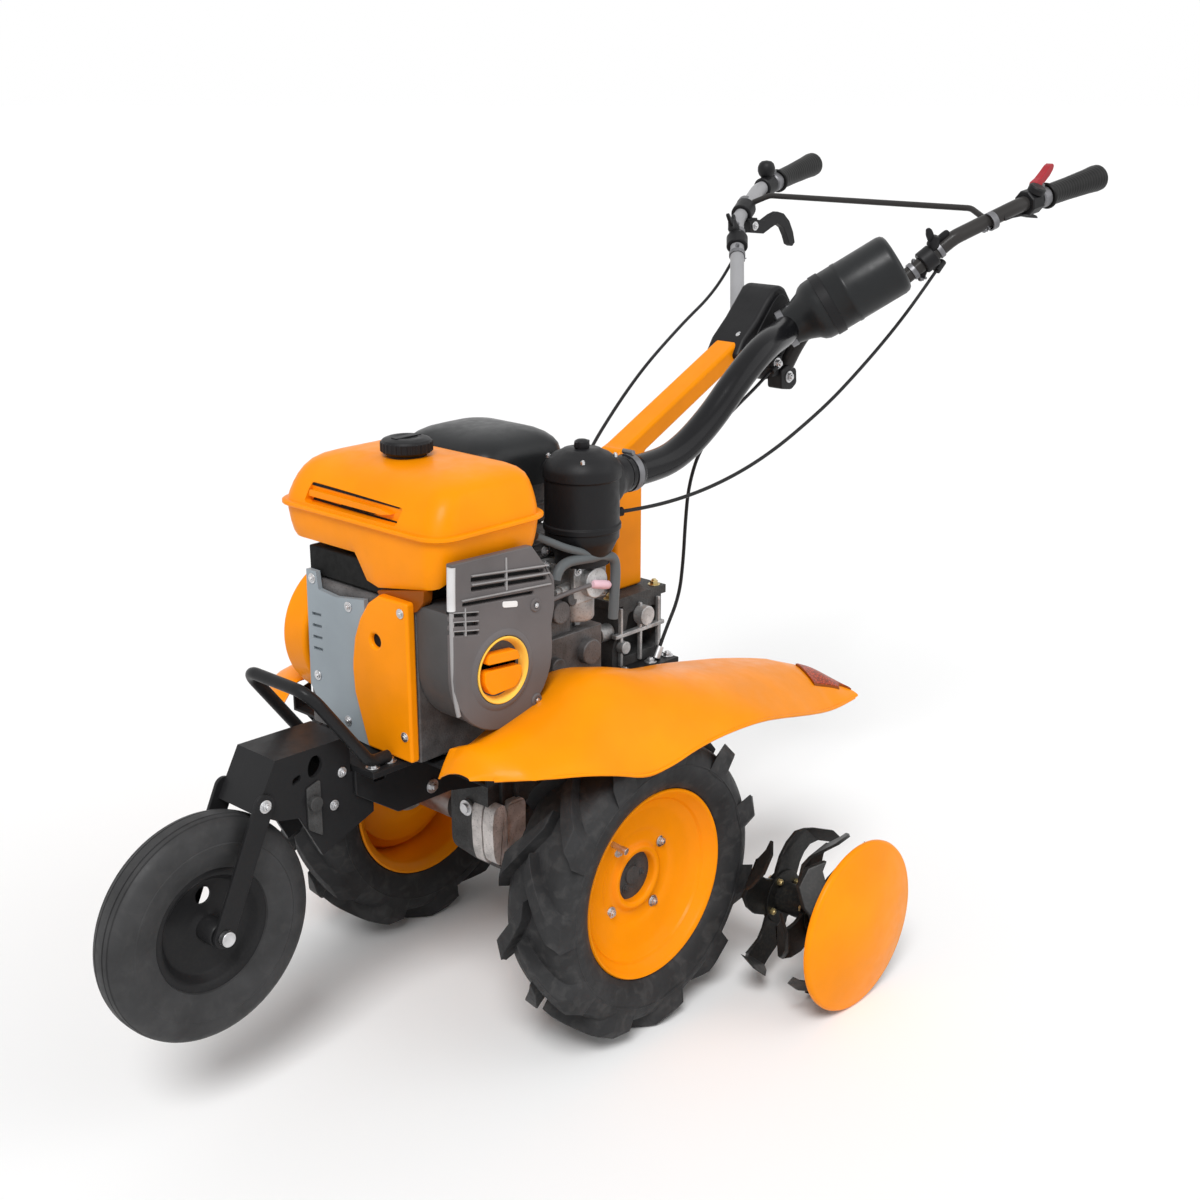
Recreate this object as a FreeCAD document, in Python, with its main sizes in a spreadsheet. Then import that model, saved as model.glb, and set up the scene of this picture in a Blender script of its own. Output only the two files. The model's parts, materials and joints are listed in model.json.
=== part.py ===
import FreeCAD, Part
import math
import os

import Sketcher
from FreeCAD import Placement, Rotation, Vector

# A walk-behind rotary tiller: two driven wheels, a small front wheel, an engine on a
# frame, a gearbox with a tine rotor behind it, and a handle column with two handles.
# Millimetres, X forward, Y to the machine's left, Z up. Pieces are drawn with the drive
# axle above X = 0 and then placed at axle_x, so that the origin is under the middle.

doc = FreeCAD.newDocument("RotaryTiller")
sheet = doc.addObject("Spreadsheet::Sheet", "Sizes")

sizes = {
    # places of the main axes
    "axle_x": 193.87,
    "axle_height": 205,
    "track": 434.6,
    "front_axle_x": 497,
    "front_axle_height": 251.6,
    "rotor_x": -222,
    "rotor_height": 117,
    # drive wheels
    "tyre_radius": 205,
    "tyre_width": 106,
    "rim_radius": 126,
    "rim_half_width": 41,
    "rim_sheet": 3,
    "hub_hole": 28,
    "axle_radius": 15,
    "hub_radius": 24,
    "hub_flange": 42,
    # front wheel and what carries it
    "front_tyre_radius": 137,
    "front_tyre_width": 52,
    "front_rim_radius": 74,
    "front_hub_radius": 16,
    "front_hub_half": 34.8,
    "front_bolt_radius": 7,
    "fork_width": 27,
    "fork_plate": 5,
    "bracket_half": 36,
    "bracket_plate": 5,
    # frame
    "deck_height": 400,
    "deck_plate": 8,
    "deck_half": 75,
    "deck_front": 300,
    "deck_rear": -258,
    "side_plate": 5,
    "gearbox_half": 36,
    "gearbox_front": 80,
    "gearbox_top": 330,
    "case_half": 28,
    "case_radius": 34,
    "fit": 0.2,
    "running_fit": 0.06,
    # engine
    "engine_front": 243,
    "engine_rear": 70,
    "engine_left": 95,
    "engine_right": -110,
    "engine_top": 596,
    "head_left": 45,
    "tank_front": 250,
    "tank_rear": 75,
    "tank_half": 137,
    "tank_seam": 685,
    "tank_flange": 6,
    "tank_flange_thick": 5,
    "tank_top": 758,
    "tank_bottom": 640,
    "tank_wall": 2,
    "prow_bottom": 604,
    "cap_x": 152,
    "cap_y": -12,
    "cap_radius": 30,
    "cap_height": 24,
    "neck_radius": 22,
    "shroud_thick": 14,
    "recoil_face": 160,
    "recoil_x": 170,
    "recoil_z": 512,
    "recoil_radius": 92,
    "recoil_wall": 3,
    "grip_ring": 45,
    "belt_cover_face": -155,
    "belt_front_x": 160,
    "belt_front_z": 505,
    "belt_front_radius": 91,
    "belt_rear_x": -48,
    "belt_rear_z": 332,
    "belt_rear_radius": 62,
    # intake, exhaust
    "intake_x": -46,
    "intake_y": 88,
    "intake_radius": 50,
    "intake_bottom": 622,
    "intake_top": 726,
    "neck_width": 36,
    "carburettor_top": 588,
    "hose_radius": 20,
    "canister_radius": 45,
    "guard_top": 760,
    "guard_wall": 3,
    # handle
    "column_depth": 44,
    "column_half": 20,
    "column_wall": 3,
    "mount_half": 30,
    "handle_radius": 11,
    "handle_wall": 2.5,
    "grip_radius": 17,
    "crossbar_radius": 4.5,
    "cable_radius": 2.5,
    "stop_radius": 6,
    "clamp_radius": 17,
    "clamp_length": 22,
    "clamp_place": 275,
    "lever_plate": 9,
    "base_half": 46,
    "base_top": 500,
    "bumper_radius": 7.5,
    # tine rotor
    "shaft_radius": 14,
    "sleeve_radius": 21,
    "tine_reach": 113,
    "tine_plate": 6,
    "tine_bend": 34,
    "outer_tines_start": 292,
    "disc_y": 426,
    "disc_radius": 117,
    # fenders
    "fender_inner": 162,
    "fender_outer": 286,
    "fender_sheet": 2.5,
}
for row, (alias, value) in enumerate(sizes.items(), start=1):
    sheet.set(f"A{row}", alias)
    sheet.set(f"B{row}", str(value))
    sheet.setAlias(f"B{row}", alias)
doc.recompute()


class Size:
    # a length together with the sheet formula that it comes from
    def __init__(self, value, formula):
        self.value = float(value)
        self.formula = formula

    def __add__(self, other):
        other = as_size(other)
        return Size(self.value + other.value, f"({self.formula} + {other.formula})")

    def __sub__(self, other):
        other = as_size(other)
        return Size(self.value - other.value, f"({self.formula} - {other.formula})")

    def __mul__(self, factor):
        return Size(self.value * factor, f"{self.formula} * {number(factor)}")

    def __neg__(self):
        return Size(-self.value, f"(0 - {self.formula})")

    def __radd__(self, other):
        return as_size(other) + self

    def __rsub__(self, other):
        return as_size(other) - self

    def __rmul__(self, factor):
        return self * factor


def number(value):
    return f"({value:.6f})" if value < 0 else f"{value:.6f}"


def as_size(value):
    return value if isinstance(value, Size) else Size(value, number(value))


class Sheet:
    # the sheet's cells as sizes, by alias
    def __getattr__(self, alias):
        return Size(sheet.get(alias), f"Sizes.{alias}")


g = Sheet()
nodes = []
places = {}


def bind(item, prop, size):
    size = as_size(size)
    item.setExpression(prop, size.formula)


def node(label, item):
    # a finished sub-part: named, and placed with the drive axle at axle_x
    item.Label = label
    bind(item, "Placement.Base.x", as_size(places.get(item.Name, 0)) + g.axle_x)
    nodes.append(item)
    return item


# ---- sketches and features -------------------------------------------------------

def new_body(name):
    return doc.addObject("PartDesign::Body", name)


def rounded(points):
    # each corner (x, y) or (x, y, radius) as the start and end of its arc, with its radius
    corners = []
    count = len(points)
    for i, point in enumerate(points):
        x, y = as_size(point[0]), as_size(point[1])
        if len(point) == 2:
            corners.append(((x, y), (x, y), None, None))
            continue
        radius = as_size(point[2])
        before, after = points[i - 1], points[(i + 1) % count]
        here = Vector(x.value, y.value)
        back = (Vector(as_size(before[0]).value, as_size(before[1]).value) - here).normalize()
        ahead = (Vector(as_size(after[0]).value, as_size(after[1]).value) - here).normalize()
        half = math.acos(max(-1.0, min(1.0, back.dot(ahead)))) / 2
        reach = radius * (1 / math.tan(half))
        start = (x + reach * back.x, y + reach * back.y)
        end = (x + reach * ahead.x, y + reach * ahead.y)
        inward = (back + ahead).normalize()
        centre = here + inward * (radius.value / math.sin(half))
        corners.append((start, end, radius, centre))
    return corners


def sketch_on(body, plane, offset=0):
    sketch = body.newObject("Sketcher::SketchObject", f"{body.Name}Sketch")
    origin = next(f for f in body.Origin.OriginFeatures if f.Role == plane)
    sketch.AttachmentSupport = [(origin, "")]
    sketch.MapMode = "FlatFace"
    if plane == "XZ_Plane":
        offset = -as_size(offset)
    sketch.AttachmentOffset = Placement(Vector(0, 0, as_size(offset).value), Rotation())
    bind(sketch, "AttachmentOffset.Base.z", offset)
    return sketch


def fix_point(sketch, index, end, x, y):
    # hold one end of an edge (or a centre, end 3) at sheet-driven coordinates
    for kind, axis, size in (("DistanceX", -2, as_size(x)), ("DistanceY", -1, as_size(y))):
        if abs(size.value) < 1e-6:
            sketch.addConstraint(Sketcher.Constraint("PointOnObject", index, end, axis))
            continue
        row = sketch.addConstraint(Sketcher.Constraint(kind, -1, 1, index, end, size.value))
        bind(sketch, f"Constraints[{row}]", size)


def fix_radius(sketch, index, radius):
    row = sketch.addConstraint(Sketcher.Constraint("Radius", index, as_size(radius).value))
    bind(sketch, f"Constraints[{row}]", radius)


def draw(sketch, points):
    # a closed outline of straight edges, with arcs at the rounded corners
    corners = rounded(points)
    count = len(corners)
    flat = [(Vector(s[0].value, s[1].value), Vector(e[0].value, e[1].value))
            for s, e, _, _ in corners]
    lines = []
    for i in range(count):
        j = (i + 1) % count
        lines.append(sketch.addGeometry(Part.LineSegment(flat[i][1], flat[j][0])))
    for i, (start, end, radius, centre) in enumerate(corners):
        before, after = lines[i - 1], lines[i]
        fix_point(sketch, after, 1, end[0], end[1])
        if radius is None:
            sketch.addConstraint(Sketcher.Constraint("Coincident", before, 2, after, 1))
            continue
        fix_point(sketch, before, 2, start[0], start[1])
        turn = (flat[i][0] - centre).cross(flat[i][1] - centre).z
        first, last = (flat[i][0], flat[i][1]) if turn > 0 else (flat[i][1], flat[i][0])
        circle = Part.Circle(centre, Vector(0, 0, 1), radius.value)
        arc = sketch.addGeometry(
            Part.ArcOfCircle(circle, circle.parameter(first), circle.parameter(last)))
        starts, ends = (1, 2) if turn > 0 else (2, 1)
        sketch.addConstraint(Sketcher.Constraint("Coincident", before, 2, arc, starts))
        sketch.addConstraint(Sketcher.Constraint("Coincident", after, 1, arc, ends))
        fix_radius(sketch, arc, radius)
    return sketch


def draw_circle(sketch, x, y, radius):
    centre = Vector(as_size(x).value, as_size(y).value)
    index = sketch.addGeometry(Part.Circle(centre, Vector(0, 0, 1), as_size(radius).value))
    fix_point(sketch, index, 3, x, y)
    fix_radius(sketch, index, radius)
    return sketch


def extrude(body, kind, sketch, length):
    feature = body.newObject(kind, f"{body.Name}{kind.split('::')[1]}")
    feature.Profile = sketch
    bind(feature, "Length", length)
    if kind == "PartDesign::Pocket":
        feature.Reversed = True
    sketch.Visibility = False
    return feature


def sketch_span(body, plane, low, high):
    # a sketch from which a pad, or a reversed pocket, fills low to high
    return sketch_on(body, plane, high if plane == "XZ_Plane" else low)


def pad(body, plane, points, low, high):
    sketch = draw(sketch_span(body, plane, low, high), points)
    return extrude(body, "PartDesign::Pad", sketch, as_size(high) - low)


def pad_circle(body, plane, x, y, radius, low, high):
    sketch = draw_circle(sketch_span(body, plane, low, high), x, y, radius)
    return extrude(body, "PartDesign::Pad", sketch, as_size(high) - low)


def pocket(body, plane, points, low, high):
    sketch = draw(sketch_span(body, plane, low, high), points)
    return extrude(body, "PartDesign::Pocket", sketch, as_size(high) - low)


def pocket_circle(body, plane, x, y, radius, low, high):
    sketch = draw_circle(sketch_span(body, plane, low, high), x, y, radius)
    return extrude(body, "PartDesign::Pocket", sketch, as_size(high) - low)


def revolve(body, points):
    # (y, radius) pairs turned about the body's Y axis
    sketch = draw(sketch_on(body, "YZ_Plane"), points)
    feature = body.newObject("PartDesign::Revolution", f"{body.Name}Turned")
    feature.Profile = sketch
    feature.ReferenceAxis = (sketch, ["H_Axis"])
    feature.Angle = 360
    return feature


def polar(body, originals, count):
    axis = next(f for f in body.Origin.OriginFeatures if f.Role == "Y_Axis")
    pattern = body.newObject("PartDesign::PolarPattern", f"{body.Name}Round")
    pattern.Originals = originals
    pattern.Axis = (axis, [""])
    pattern.Angle = 360
    pattern.Occurrences = count
    body.Tip = pattern
    return pattern


def loft(body, kind, sketches):
    feature = body.newObject(kind, f"{body.Name}Loft")
    feature.Profile = sketches[0]
    feature.Sections = sketches[1:]
    return feature


def centred(body, x, z):
    # the body's own Y axis laid on a wheel axis
    places[body.Name] = as_size(x)
    bind(body, "Placement.Base.z", z)
    return body


# ---- primitives, groups and bent tubes --------------------------------------------

def box(name, x, y, z):
    part = doc.addObject("Part::Box", name)
    for prop, letter, (low, high) in (("Length", "x", x), ("Width", "y", y), ("Height", "z", z)):
        bind(part, prop, as_size(high) - low)
        bind(part, f"Placement.Base.{letter}", low)
    places[part.Name] = as_size(x[0])
    return part


def rod(name, start, end, radius):
    # a round bar between two points
    a = Vector(*(as_size(c).value for c in start))
    b = Vector(*(as_size(c).value for c in end))
    part = doc.addObject("Part::Cylinder", name)
    part.Placement = Placement(a, Rotation(Vector(0, 0, 1), b - a))
    for letter, coordinate in zip("xyz", start):
        bind(part, f"Placement.Base.{letter}", coordinate)
    bind(part, "Radius", radius)
    part.Height = (b - a).Length
    places[part.Name] = as_size(start[0])
    return part


def group(name, parts):
    compound = doc.addObject("Part::Compound", name)
    compound.Links = parts
    return compound


def cut(name, base, tool):
    result = doc.addObject("Part::Cut", name)
    result.Base = base
    result.Tool = tool
    return result


def fuse(name, parts):
    result = doc.addObject("Part::MultiFuse", name)
    result.Shapes = parts
    return result


def route(points, bends):
    # straight runs joined by tangent arcs; bends holds each inner point's arc radius
    edges = []
    last = points[0]
    for i, radius in enumerate(bends, start=1):
        here = points[i]
        back = (points[i - 1] - here).normalize()
        ahead = (points[i + 1] - here).normalize()
        half = math.acos(max(-1.0, min(1.0, back.dot(ahead)))) / 2
        reach = radius / math.tan(half)
        start, end = here + back * reach, here + ahead * reach
        inward = (back + ahead).normalize()
        middle = here + inward * (radius / math.sin(half) - radius)
        if (start - last).Length > 0.01:
            edges.append(Part.LineSegment(last, start).toShape())
        edges.append(Part.Arc(start, middle, end).toShape())
        last = end
    edges.append(Part.LineSegment(last, points[-1]).toShape())
    return Part.Wire(edges)


def cord_bends(points):
    # each arc as large as its two runs allow
    bends = []
    for i in range(1, len(points) - 1):
        back, ahead = points[i] - points[i - 1], points[i + 1] - points[i]
        turn = back.getAngle(ahead)
        bends.append(0.45 * min(back.Length, ahead.Length) / math.tan(turn / 2))
    return bends


def swept(path, radius):
    start = path.Edges[0].valueAt(path.Edges[0].FirstParameter)
    along = path.Edges[0].tangentAt(path.Edges[0].FirstParameter)
    section = Part.Wire(Part.Circle(start, along, radius).toShape())
    return path.makePipeShell([section], True, False)


def solid_feature(name, shape):
    part = doc.addObject("Part::Feature", name)
    part.Shape = shape
    return part


def tube(name, points, radius, bends, wall=None):
    points = [Vector(*(as_size(c).value for c in point)) for point in points]
    path = route(points, bends)
    shape = swept(path, as_size(radius).value)
    if wall is not None:
        shape = shape.cut(swept(path, as_size(radius).value - as_size(wall).value))
    return solid_feature(name, shape)


# ---- drive wheels -------------------------------------------------------------------

def drive_rim(side, label):
    body = new_body(label)
    rim, half, sheet_thick = g.rim_radius, g.rim_half_width, g.rim_sheet
    face = g.hub_hole
    profile = [
        (half, rim),
        (half, rim - 5),
        (half - 5, rim - 7),
        (sheet_thick * 0.5, face + 6),
        (8, face + 6),
        (8, face),
        (-sheet_thick, face),
        (-sheet_thick, face + 10),
        (-sheet_thick * 0.5, face + 10),
        (half - 10, rim - 14),
        (half * -1 + 7, rim - 14),
        (half * -1 + 3, rim - 5),
        (half * -1, rim - 5),
        (half * -1, rim),
        (half * -1 + 5, rim),
        (half * -1 + 10, rim - 11),
        (half - 10, rim - 11),
        (half - 5, rim),
    ]
    revolve(body, [(as_size(y) * side, r) for y, r in profile])
    centred(body, 0, g.axle_height)
    bind(body, "Placement.Base.y", g.track * (side / 2))
    return node(label, body)


def drive_tyre(side, label):
    body = new_body(label)
    bead, half, outer = g.rim_radius, g.rim_half_width, g.tyre_radius
    wide = g.tyre_width * 0.5
    wall = 12
    profile = [
        (half - 10.7, bead - 10.6),
        (half - 5.8, bead + 0.8),
        (wide - 6, bead + 14),
        (wide, bead + 36),
        (wide - 3, outer - 16),
        (wide - 12, outer),
        (-wide + 12, outer),
        (-wide + 3, outer - 16),
        (-wide, bead + 36),
        (-wide + 6, bead + 14),
        (-half + 5.8, bead + 0.8),
        (-half + 10.7, bead - 10.6),
        (-half + 10.7 + wall * 0.6, bead - 10.6),
        (-wide + wall, bead + 20),
        (-wide + wall, outer - 24),
        (-wide + wall + 6, outer - wall - 6),
        (wide - wall - 6, outer - wall - 6),
        (wide - wall, outer - 24),
        (wide - wall, bead + 20),
        (half - 10.7 - wall * 0.6, bead - 10.6),
    ]
    revolve(body, profile)
    centred(body, 0, g.axle_height)
    bind(body, "Placement.Base.y", g.track * (side / 2))
    return node(label, body)


def drive_shaft():
    body = new_body("drive_shaft")
    end = g.track * 0.5 - g.rim_sheet
    inner = g.gearbox_half + 6
    revolve(body, [
        (-end, 0), (end, 0), (end, g.hub_flange), (end - 5, g.hub_flange),
        (end - 5, g.hub_radius), (inner, g.hub_radius), (inner, g.axle_radius),
        (-inner, g.axle_radius), (-inner, g.hub_radius), (-end + 5, g.hub_radius),
        (-end + 5, g.hub_flange), (-end, g.hub_flange),
    ])
    centred(body, 0, g.axle_height)
    return node("drive_shaft", body)


# ---- front wheel, fork, bracket and bumper ------------------------------------------

def front_rim():
    body = new_body("front_rim")
    rim, hub, half = g.front_rim_radius, g.front_hub_radius, g.front_hub_half
    revolve(body, [
        (-half, g.front_bolt_radius + g.running_fit), (half, g.front_bolt_radius + g.running_fit),
        (half, hub), (6, hub), (2, hub + 8), (2, rim - 14), (16, rim - 10), (16, rim),
        (12, rim), (11, rim - 6), (-11, rim - 6), (-12, rim), (-16, rim), (-16, rim - 10),
        (-2, rim - 14), (-2, hub + 8), (-6, hub), (-half, hub),
    ])
    hole = pocket_circle(body, "XZ_Plane", 38, 0, 8, -20, 20)
    polar(body, [hole], 4)
    centred(body, g.front_axle_x, g.front_axle_height)
    return node("front_rim", body)


def front_tyre():
    body = new_body("front_tyre")
    rim, outer, wide = g.front_rim_radius, g.front_tyre_radius, g.front_tyre_width * 0.5
    revolve(body, [
        (10.6, rim - 5.4), (11.4, rim + 0.6), (wide - 4, rim + 8), (wide, rim + 24, 12),
        (wide - 2, outer - 10, 12), (wide - 14, outer, 12), (-wide + 14, outer, 12),
        (-wide + 2, outer - 10, 12), (-wide, rim + 24, 12), (-wide + 4, rim + 8),
        (-11.4, rim + 0.6), (-10.6, rim - 5.4), (-5, rim - 5.4), (-wide + 10, rim + 14),
        (-wide + 12, outer - 16), (wide - 12, outer - 16), (wide - 10, rim + 14), (5, rim - 5.4),
    ])
    centred(body, g.front_axle_x, g.front_axle_height)
    return node("front_tyre", body)


def front_fork():
    bars = []
    low = (g.front_axle_x, g.front_axle_height)
    high = (g.front_axle_x - 66, g.front_axle_height + 140)
    dx, dz = low[0].value - high[0].value, low[1].value - high[1].value
    length = math.hypot(dx, dz)
    along, across = (dx / length, dz / length), (dz / length, -dx / length)
    half = g.fork_width * 0.5
    for side, name in ((1, "LeftFork"), (-1, "RightFork")):
        body = new_body(name)
        near = g.bracket_half + g.fit
        far = near + g.fork_plate
        low_y, high_y = (near, far) if side > 0 else (-far, -near)
        ends = []
        for point, way, turn in ((low, 1, 1), (low, 1, -1), (high, -1, -1), (high, -1, 1)):
            ends.append((point[0] + half * (along[0] * way + across[0] * turn),
                         point[1] + half * (along[1] * way + across[1] * turn),
                         g.fork_width * 0.45))
        pad(body, "XZ_Plane", ends, low_y, high_y)
        pocket_circle(body, "XZ_Plane", low[0], low[1],
                      g.front_bolt_radius + g.running_fit, low_y, high_y)
        bars.append(body)
    return node("front_fork", group("FrontFork", bars))


def front_bolt():
    body = new_body("front_axle_bolt")
    reach = g.bracket_half + g.fork_plate + g.fit * 2
    radius = g.front_bolt_radius
    revolve(body, [
        (-reach - 8, 0), (reach + 8, 0), (reach + 8, radius + 5), (reach, radius + 5),
        (reach, radius), (-reach, radius), (-reach, radius + 5), (-reach - 8, radius + 5),
    ])
    centred(body, g.front_axle_x, g.front_axle_height)
    return node("front_axle_bolt", body)


def front_bracket():
    body = new_body("front_bracket")
    half, plate = g.bracket_half, g.bracket_plate
    deck_under = g.deck_height - g.deck_plate - g.fit
    front = g.deck_front + 3
    pad(body, "XZ_Plane", [
        (front - 33, deck_under), (front, deck_under), (front, deck_under + 46),
        (front + 135, deck_under + 74), (front + 170, deck_under + 9),
        (front + 137, deck_under - 2), (front + 92, deck_under - 20),
        (front + 47, deck_under - 92), (front - 33, deck_under - 62),
    ], -half, half)
    pocket(body, "XZ_Plane", [
        (front - 40, deck_under - plate), (front + plate, deck_under - plate),
        (front + plate, deck_under + 40), (front + 132, deck_under + 67),
        (front + 162, deck_under + 10), (front + 150, deck_under - 60),
        (front + 70, deck_under - 120), (front - 40, deck_under - 120),
    ], -half + plate, half - plate)
    pocket_circle(body, "XZ_Plane", front + 54, deck_under + 25, 13, -half - 1, half + 1)
    pocket(body, "XZ_Plane", [
        (front + 84, deck_under + 24, 3.9), (front + 106, deck_under + 29, 3.9),
        (front + 106, deck_under + 37, 3.9), (front + 84, deck_under + 32, 3.9),
    ], -half - 1, half + 1)
    return node("front_bracket", body)


def bumper():
    reach = g.deck_half * 0.8
    foot_x, foot_z = g.deck_front - 12, g.deck_height + g.bumper_radius + g.fit
    points = [
        (foot_x - 24, -reach, foot_z), (foot_x + 4, -reach, foot_z),
        (foot_x + 88, -reach, foot_z + 110), (foot_x + 88, reach, foot_z + 110),
        (foot_x + 4, reach, foot_z), (foot_x - 24, reach, foot_z),
    ]
    return node("bumper", tube("Bumper", points, g.bumper_radius, [22, 24, 24, 22]))


# ---- frame and gearbox ----------------------------------------------------------------

def frame():
    deck = box("Deck", (g.deck_rear, g.deck_front), (-g.deck_half, g.deck_half),
               (g.deck_height - g.deck_plate, g.deck_height))
    plates = [deck]
    inner = g.gearbox_half + g.fit
    top = g.deck_height - g.deck_plate
    for side, name in ((1, "LeftRail"), (-1, "RightRail")):
        body = new_body(name)
        low, high = (inner, inner + g.side_plate) if side > 0 else (-inner - g.side_plate, -inner)
        pad(body, "XZ_Plane", [
            (g.deck_rear, top), (g.deck_rear, top - 34), (-90, top - 44), (-60, top - 92),
            (70, top - 92), (150, top - 74), (235, top - 74, 10), (g.deck_front, top - 30),
            (g.deck_front, top),
        ], low, high)
        pocket(body, "XZ_Plane", [
            (255, top - 22), (271, top - 22), (271, top - 6), (255, top - 6),
        ], low, high)
        plates.append(body)
    return node("frame", fuse("Frame", plates))


def gearbox():
    body = new_body("gearbox")
    half, front, top = g.gearbox_half, g.gearbox_front, g.gearbox_top
    pad(body, "XZ_Plane", [
        (front, top, 12), (-front, top, 12), (-front, g.axle_height - 20, 30),
        (-30, g.axle_height - 55, 20), (30, g.axle_height - 55, 20),
        (front, g.axle_height - 10, 30),
    ], -half, half)
    along = Vector(g.rotor_x.value, g.rotor_height.value - g.axle_height.value).normalize()
    across = Vector(-along.y, along.x)
    radius = g.case_radius
    arm = [
        (along.x * 50 + radius * across.x * 1.3, g.axle_height + along.y * 50
         + radius * across.y * 1.3, ),
        (g.rotor_x + radius * (across.x + along.x), g.rotor_height
         + radius * (across.y + along.y), radius * 0.9),
        (g.rotor_x + radius * (along.x - across.x), g.rotor_height
         + radius * (along.y - across.y), radius * 0.9),
        (along.x * 50 - radius * across.x * 1.3, g.axle_height + along.y * 50
         - radius * across.y * 1.3, ),
    ]
    pad(body, "XZ_Plane", arm, -g.case_half, g.case_half)
    pocket_circle(body, "XZ_Plane", 0, g.axle_height, g.axle_radius + g.running_fit,
                  -half - 1, half + 1)
    pocket_circle(body, "XZ_Plane", g.rotor_x, g.rotor_height, g.shaft_radius + g.running_fit,
                  -g.case_half - 1, g.case_half + 1)
    return node("gearbox", body)


# ---- engine ---------------------------------------------------------------------------

def engine():
    body = new_body("engine_block")
    low = g.deck_height + g.fit
    pad(body, "XZ_Plane", [
        (g.engine_rear, low), (g.engine_front, low), (g.engine_front, g.engine_top, 10),
        (g.engine_rear, g.engine_top),
    ], g.engine_right, g.engine_left)
    pad(body, "XZ_Plane", [
        (g.engine_rear + 10, low + 60), (g.engine_rear + 10, g.engine_top),
        (g.engine_rear - 8, g.engine_top), (g.engine_rear - 30, g.engine_top + 26),
        (-30, g.engine_top + 26, 8), (-62, low + 130, 8),
        (30, low + 50),
    ], -65, g.head_left)
    return node("engine_block", body)


def tank_seat():
    return node("tank_seat", box(
        "TankSeat", (g.tank_rear + 15, g.tank_front - 62), (-g.tank_half + 35, g.tank_half - 45),
        (g.engine_top + g.fit, g.tank_bottom - g.fit)))


def fuel_tank():
    body = new_body("fuel_tank")
    front, rear, half = g.tank_front, g.tank_rear, g.tank_half
    seam, wall = g.tank_seam, g.tank_wall

    def ring(inset_front, inset_rear, inset_side, radius, height):
        return draw(sketch_on(body, "XY_Plane", height), [
            (front - inset_front, -half + inset_side, radius),
            (front - inset_front, half - inset_side, radius),
            (rear + inset_rear, half - inset_side, radius),
            (rear + inset_rear, -half + inset_side, radius),
        ])

    upper = [
        (0, 0, 0, 30, 0), (13, 4, 5, 30, 36), (34, 12, 16, 30, 62), (62, 34, 46, 24, 73),
    ]
    rise = (g.tank_top - g.tank_seam).value / upper[-1][4]
    outer = [ring(a, b, c, r, seam + up * rise) for a, b, c, r, up in upper]
    loft(body, "PartDesign::AdditiveLoft", outer)
    lower = [ring(0, 0, 0, 30, seam), ring(4, 4, 5, 28, g.tank_bottom + 12),
             ring(12, 10, 12, 24, g.tank_bottom)]
    loft(body, "PartDesign::AdditiveLoft", lower)
    prow = draw(sketch_on(body, "XY_Plane", g.prow_bottom), [
        (front - 14, 52, 14), (front - 14, 122, 14), (front - 50, 122), (front - 50, 52)])
    prow_top = draw(sketch_on(body, "XY_Plane", g.tank_bottom + 30), [
        (front - 3, 18, 14), (front - 3, half - 6, 14), (front - 60, half - 6), (front - 60, 18)])
    loft(body, "PartDesign::AdditiveLoft", [prow, prow_top])
    flange = draw(sketch_on(body, "XY_Plane", seam - g.tank_flange_thick * 0.5), [
        (front + g.tank_flange, -half - g.tank_flange, 34),
        (front + g.tank_flange, half + g.tank_flange, 34),
        (rear - g.tank_flange, half + g.tank_flange, 34),
        (rear - g.tank_flange, -half - g.tank_flange, 34),
    ])
    extrude(body, "PartDesign::Pad", flange, g.tank_flange_thick)
    inside = [ring(a + wall.value * 1.2, b + wall.value * 1.2, c + wall.value * 1.2,
                   r - wall.value, seam + up * rise - drop)
              for (a, b, c, r, up), drop in zip(upper, (0, 0.5, 1.5, wall.value))]
    loft(body, "PartDesign::SubtractiveLoft", inside)
    under = [ring(wall.value * 1.2, wall.value * 1.2, wall.value * 1.2, 28, seam),
             ring(14 + wall.value, 12 + wall.value, 14 + wall.value, 22,
                  g.tank_bottom + wall.value)]
    loft(body, "PartDesign::SubtractiveLoft", under)
    pocket_circle(body, "XY_Plane", g.cap_x, g.cap_y, g.neck_radius, seam + 20,
                  g.tank_top + 10).Reversed = True
    return node("fuel_tank", body)


def fuel_cap():
    low = g.tank_top + g.fit
    skirt = rod("CapSkirt", (g.cap_x, g.cap_y, low), (g.cap_x, g.cap_y, low + 6), g.cap_radius - 5)
    top = rod("CapTop", (g.cap_x, g.cap_y, low + 6), (g.cap_x, g.cap_y, low + g.cap_height),
              g.cap_radius)
    return node("fuel_cap", fuse("FuelCap", [skirt, top]))


def front_shroud():
    body = new_body("front_shroud")
    near = g.engine_front + g.fit
    low, high = g.deck_height + g.fit, g.prow_bottom - g.fit
    pad(body, "XY_Plane", [
        (near, -10), (near, g.engine_left), (near + g.shroud_thick, g.engine_left, 9),
        (near + g.shroud_thick, -10, 9),
    ], low, high)
    pocket_circle(body, "YZ_Plane", 30, high - 62, 8, near + 4, near + g.shroud_thick)
    return node("front_shroud", body)


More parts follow.
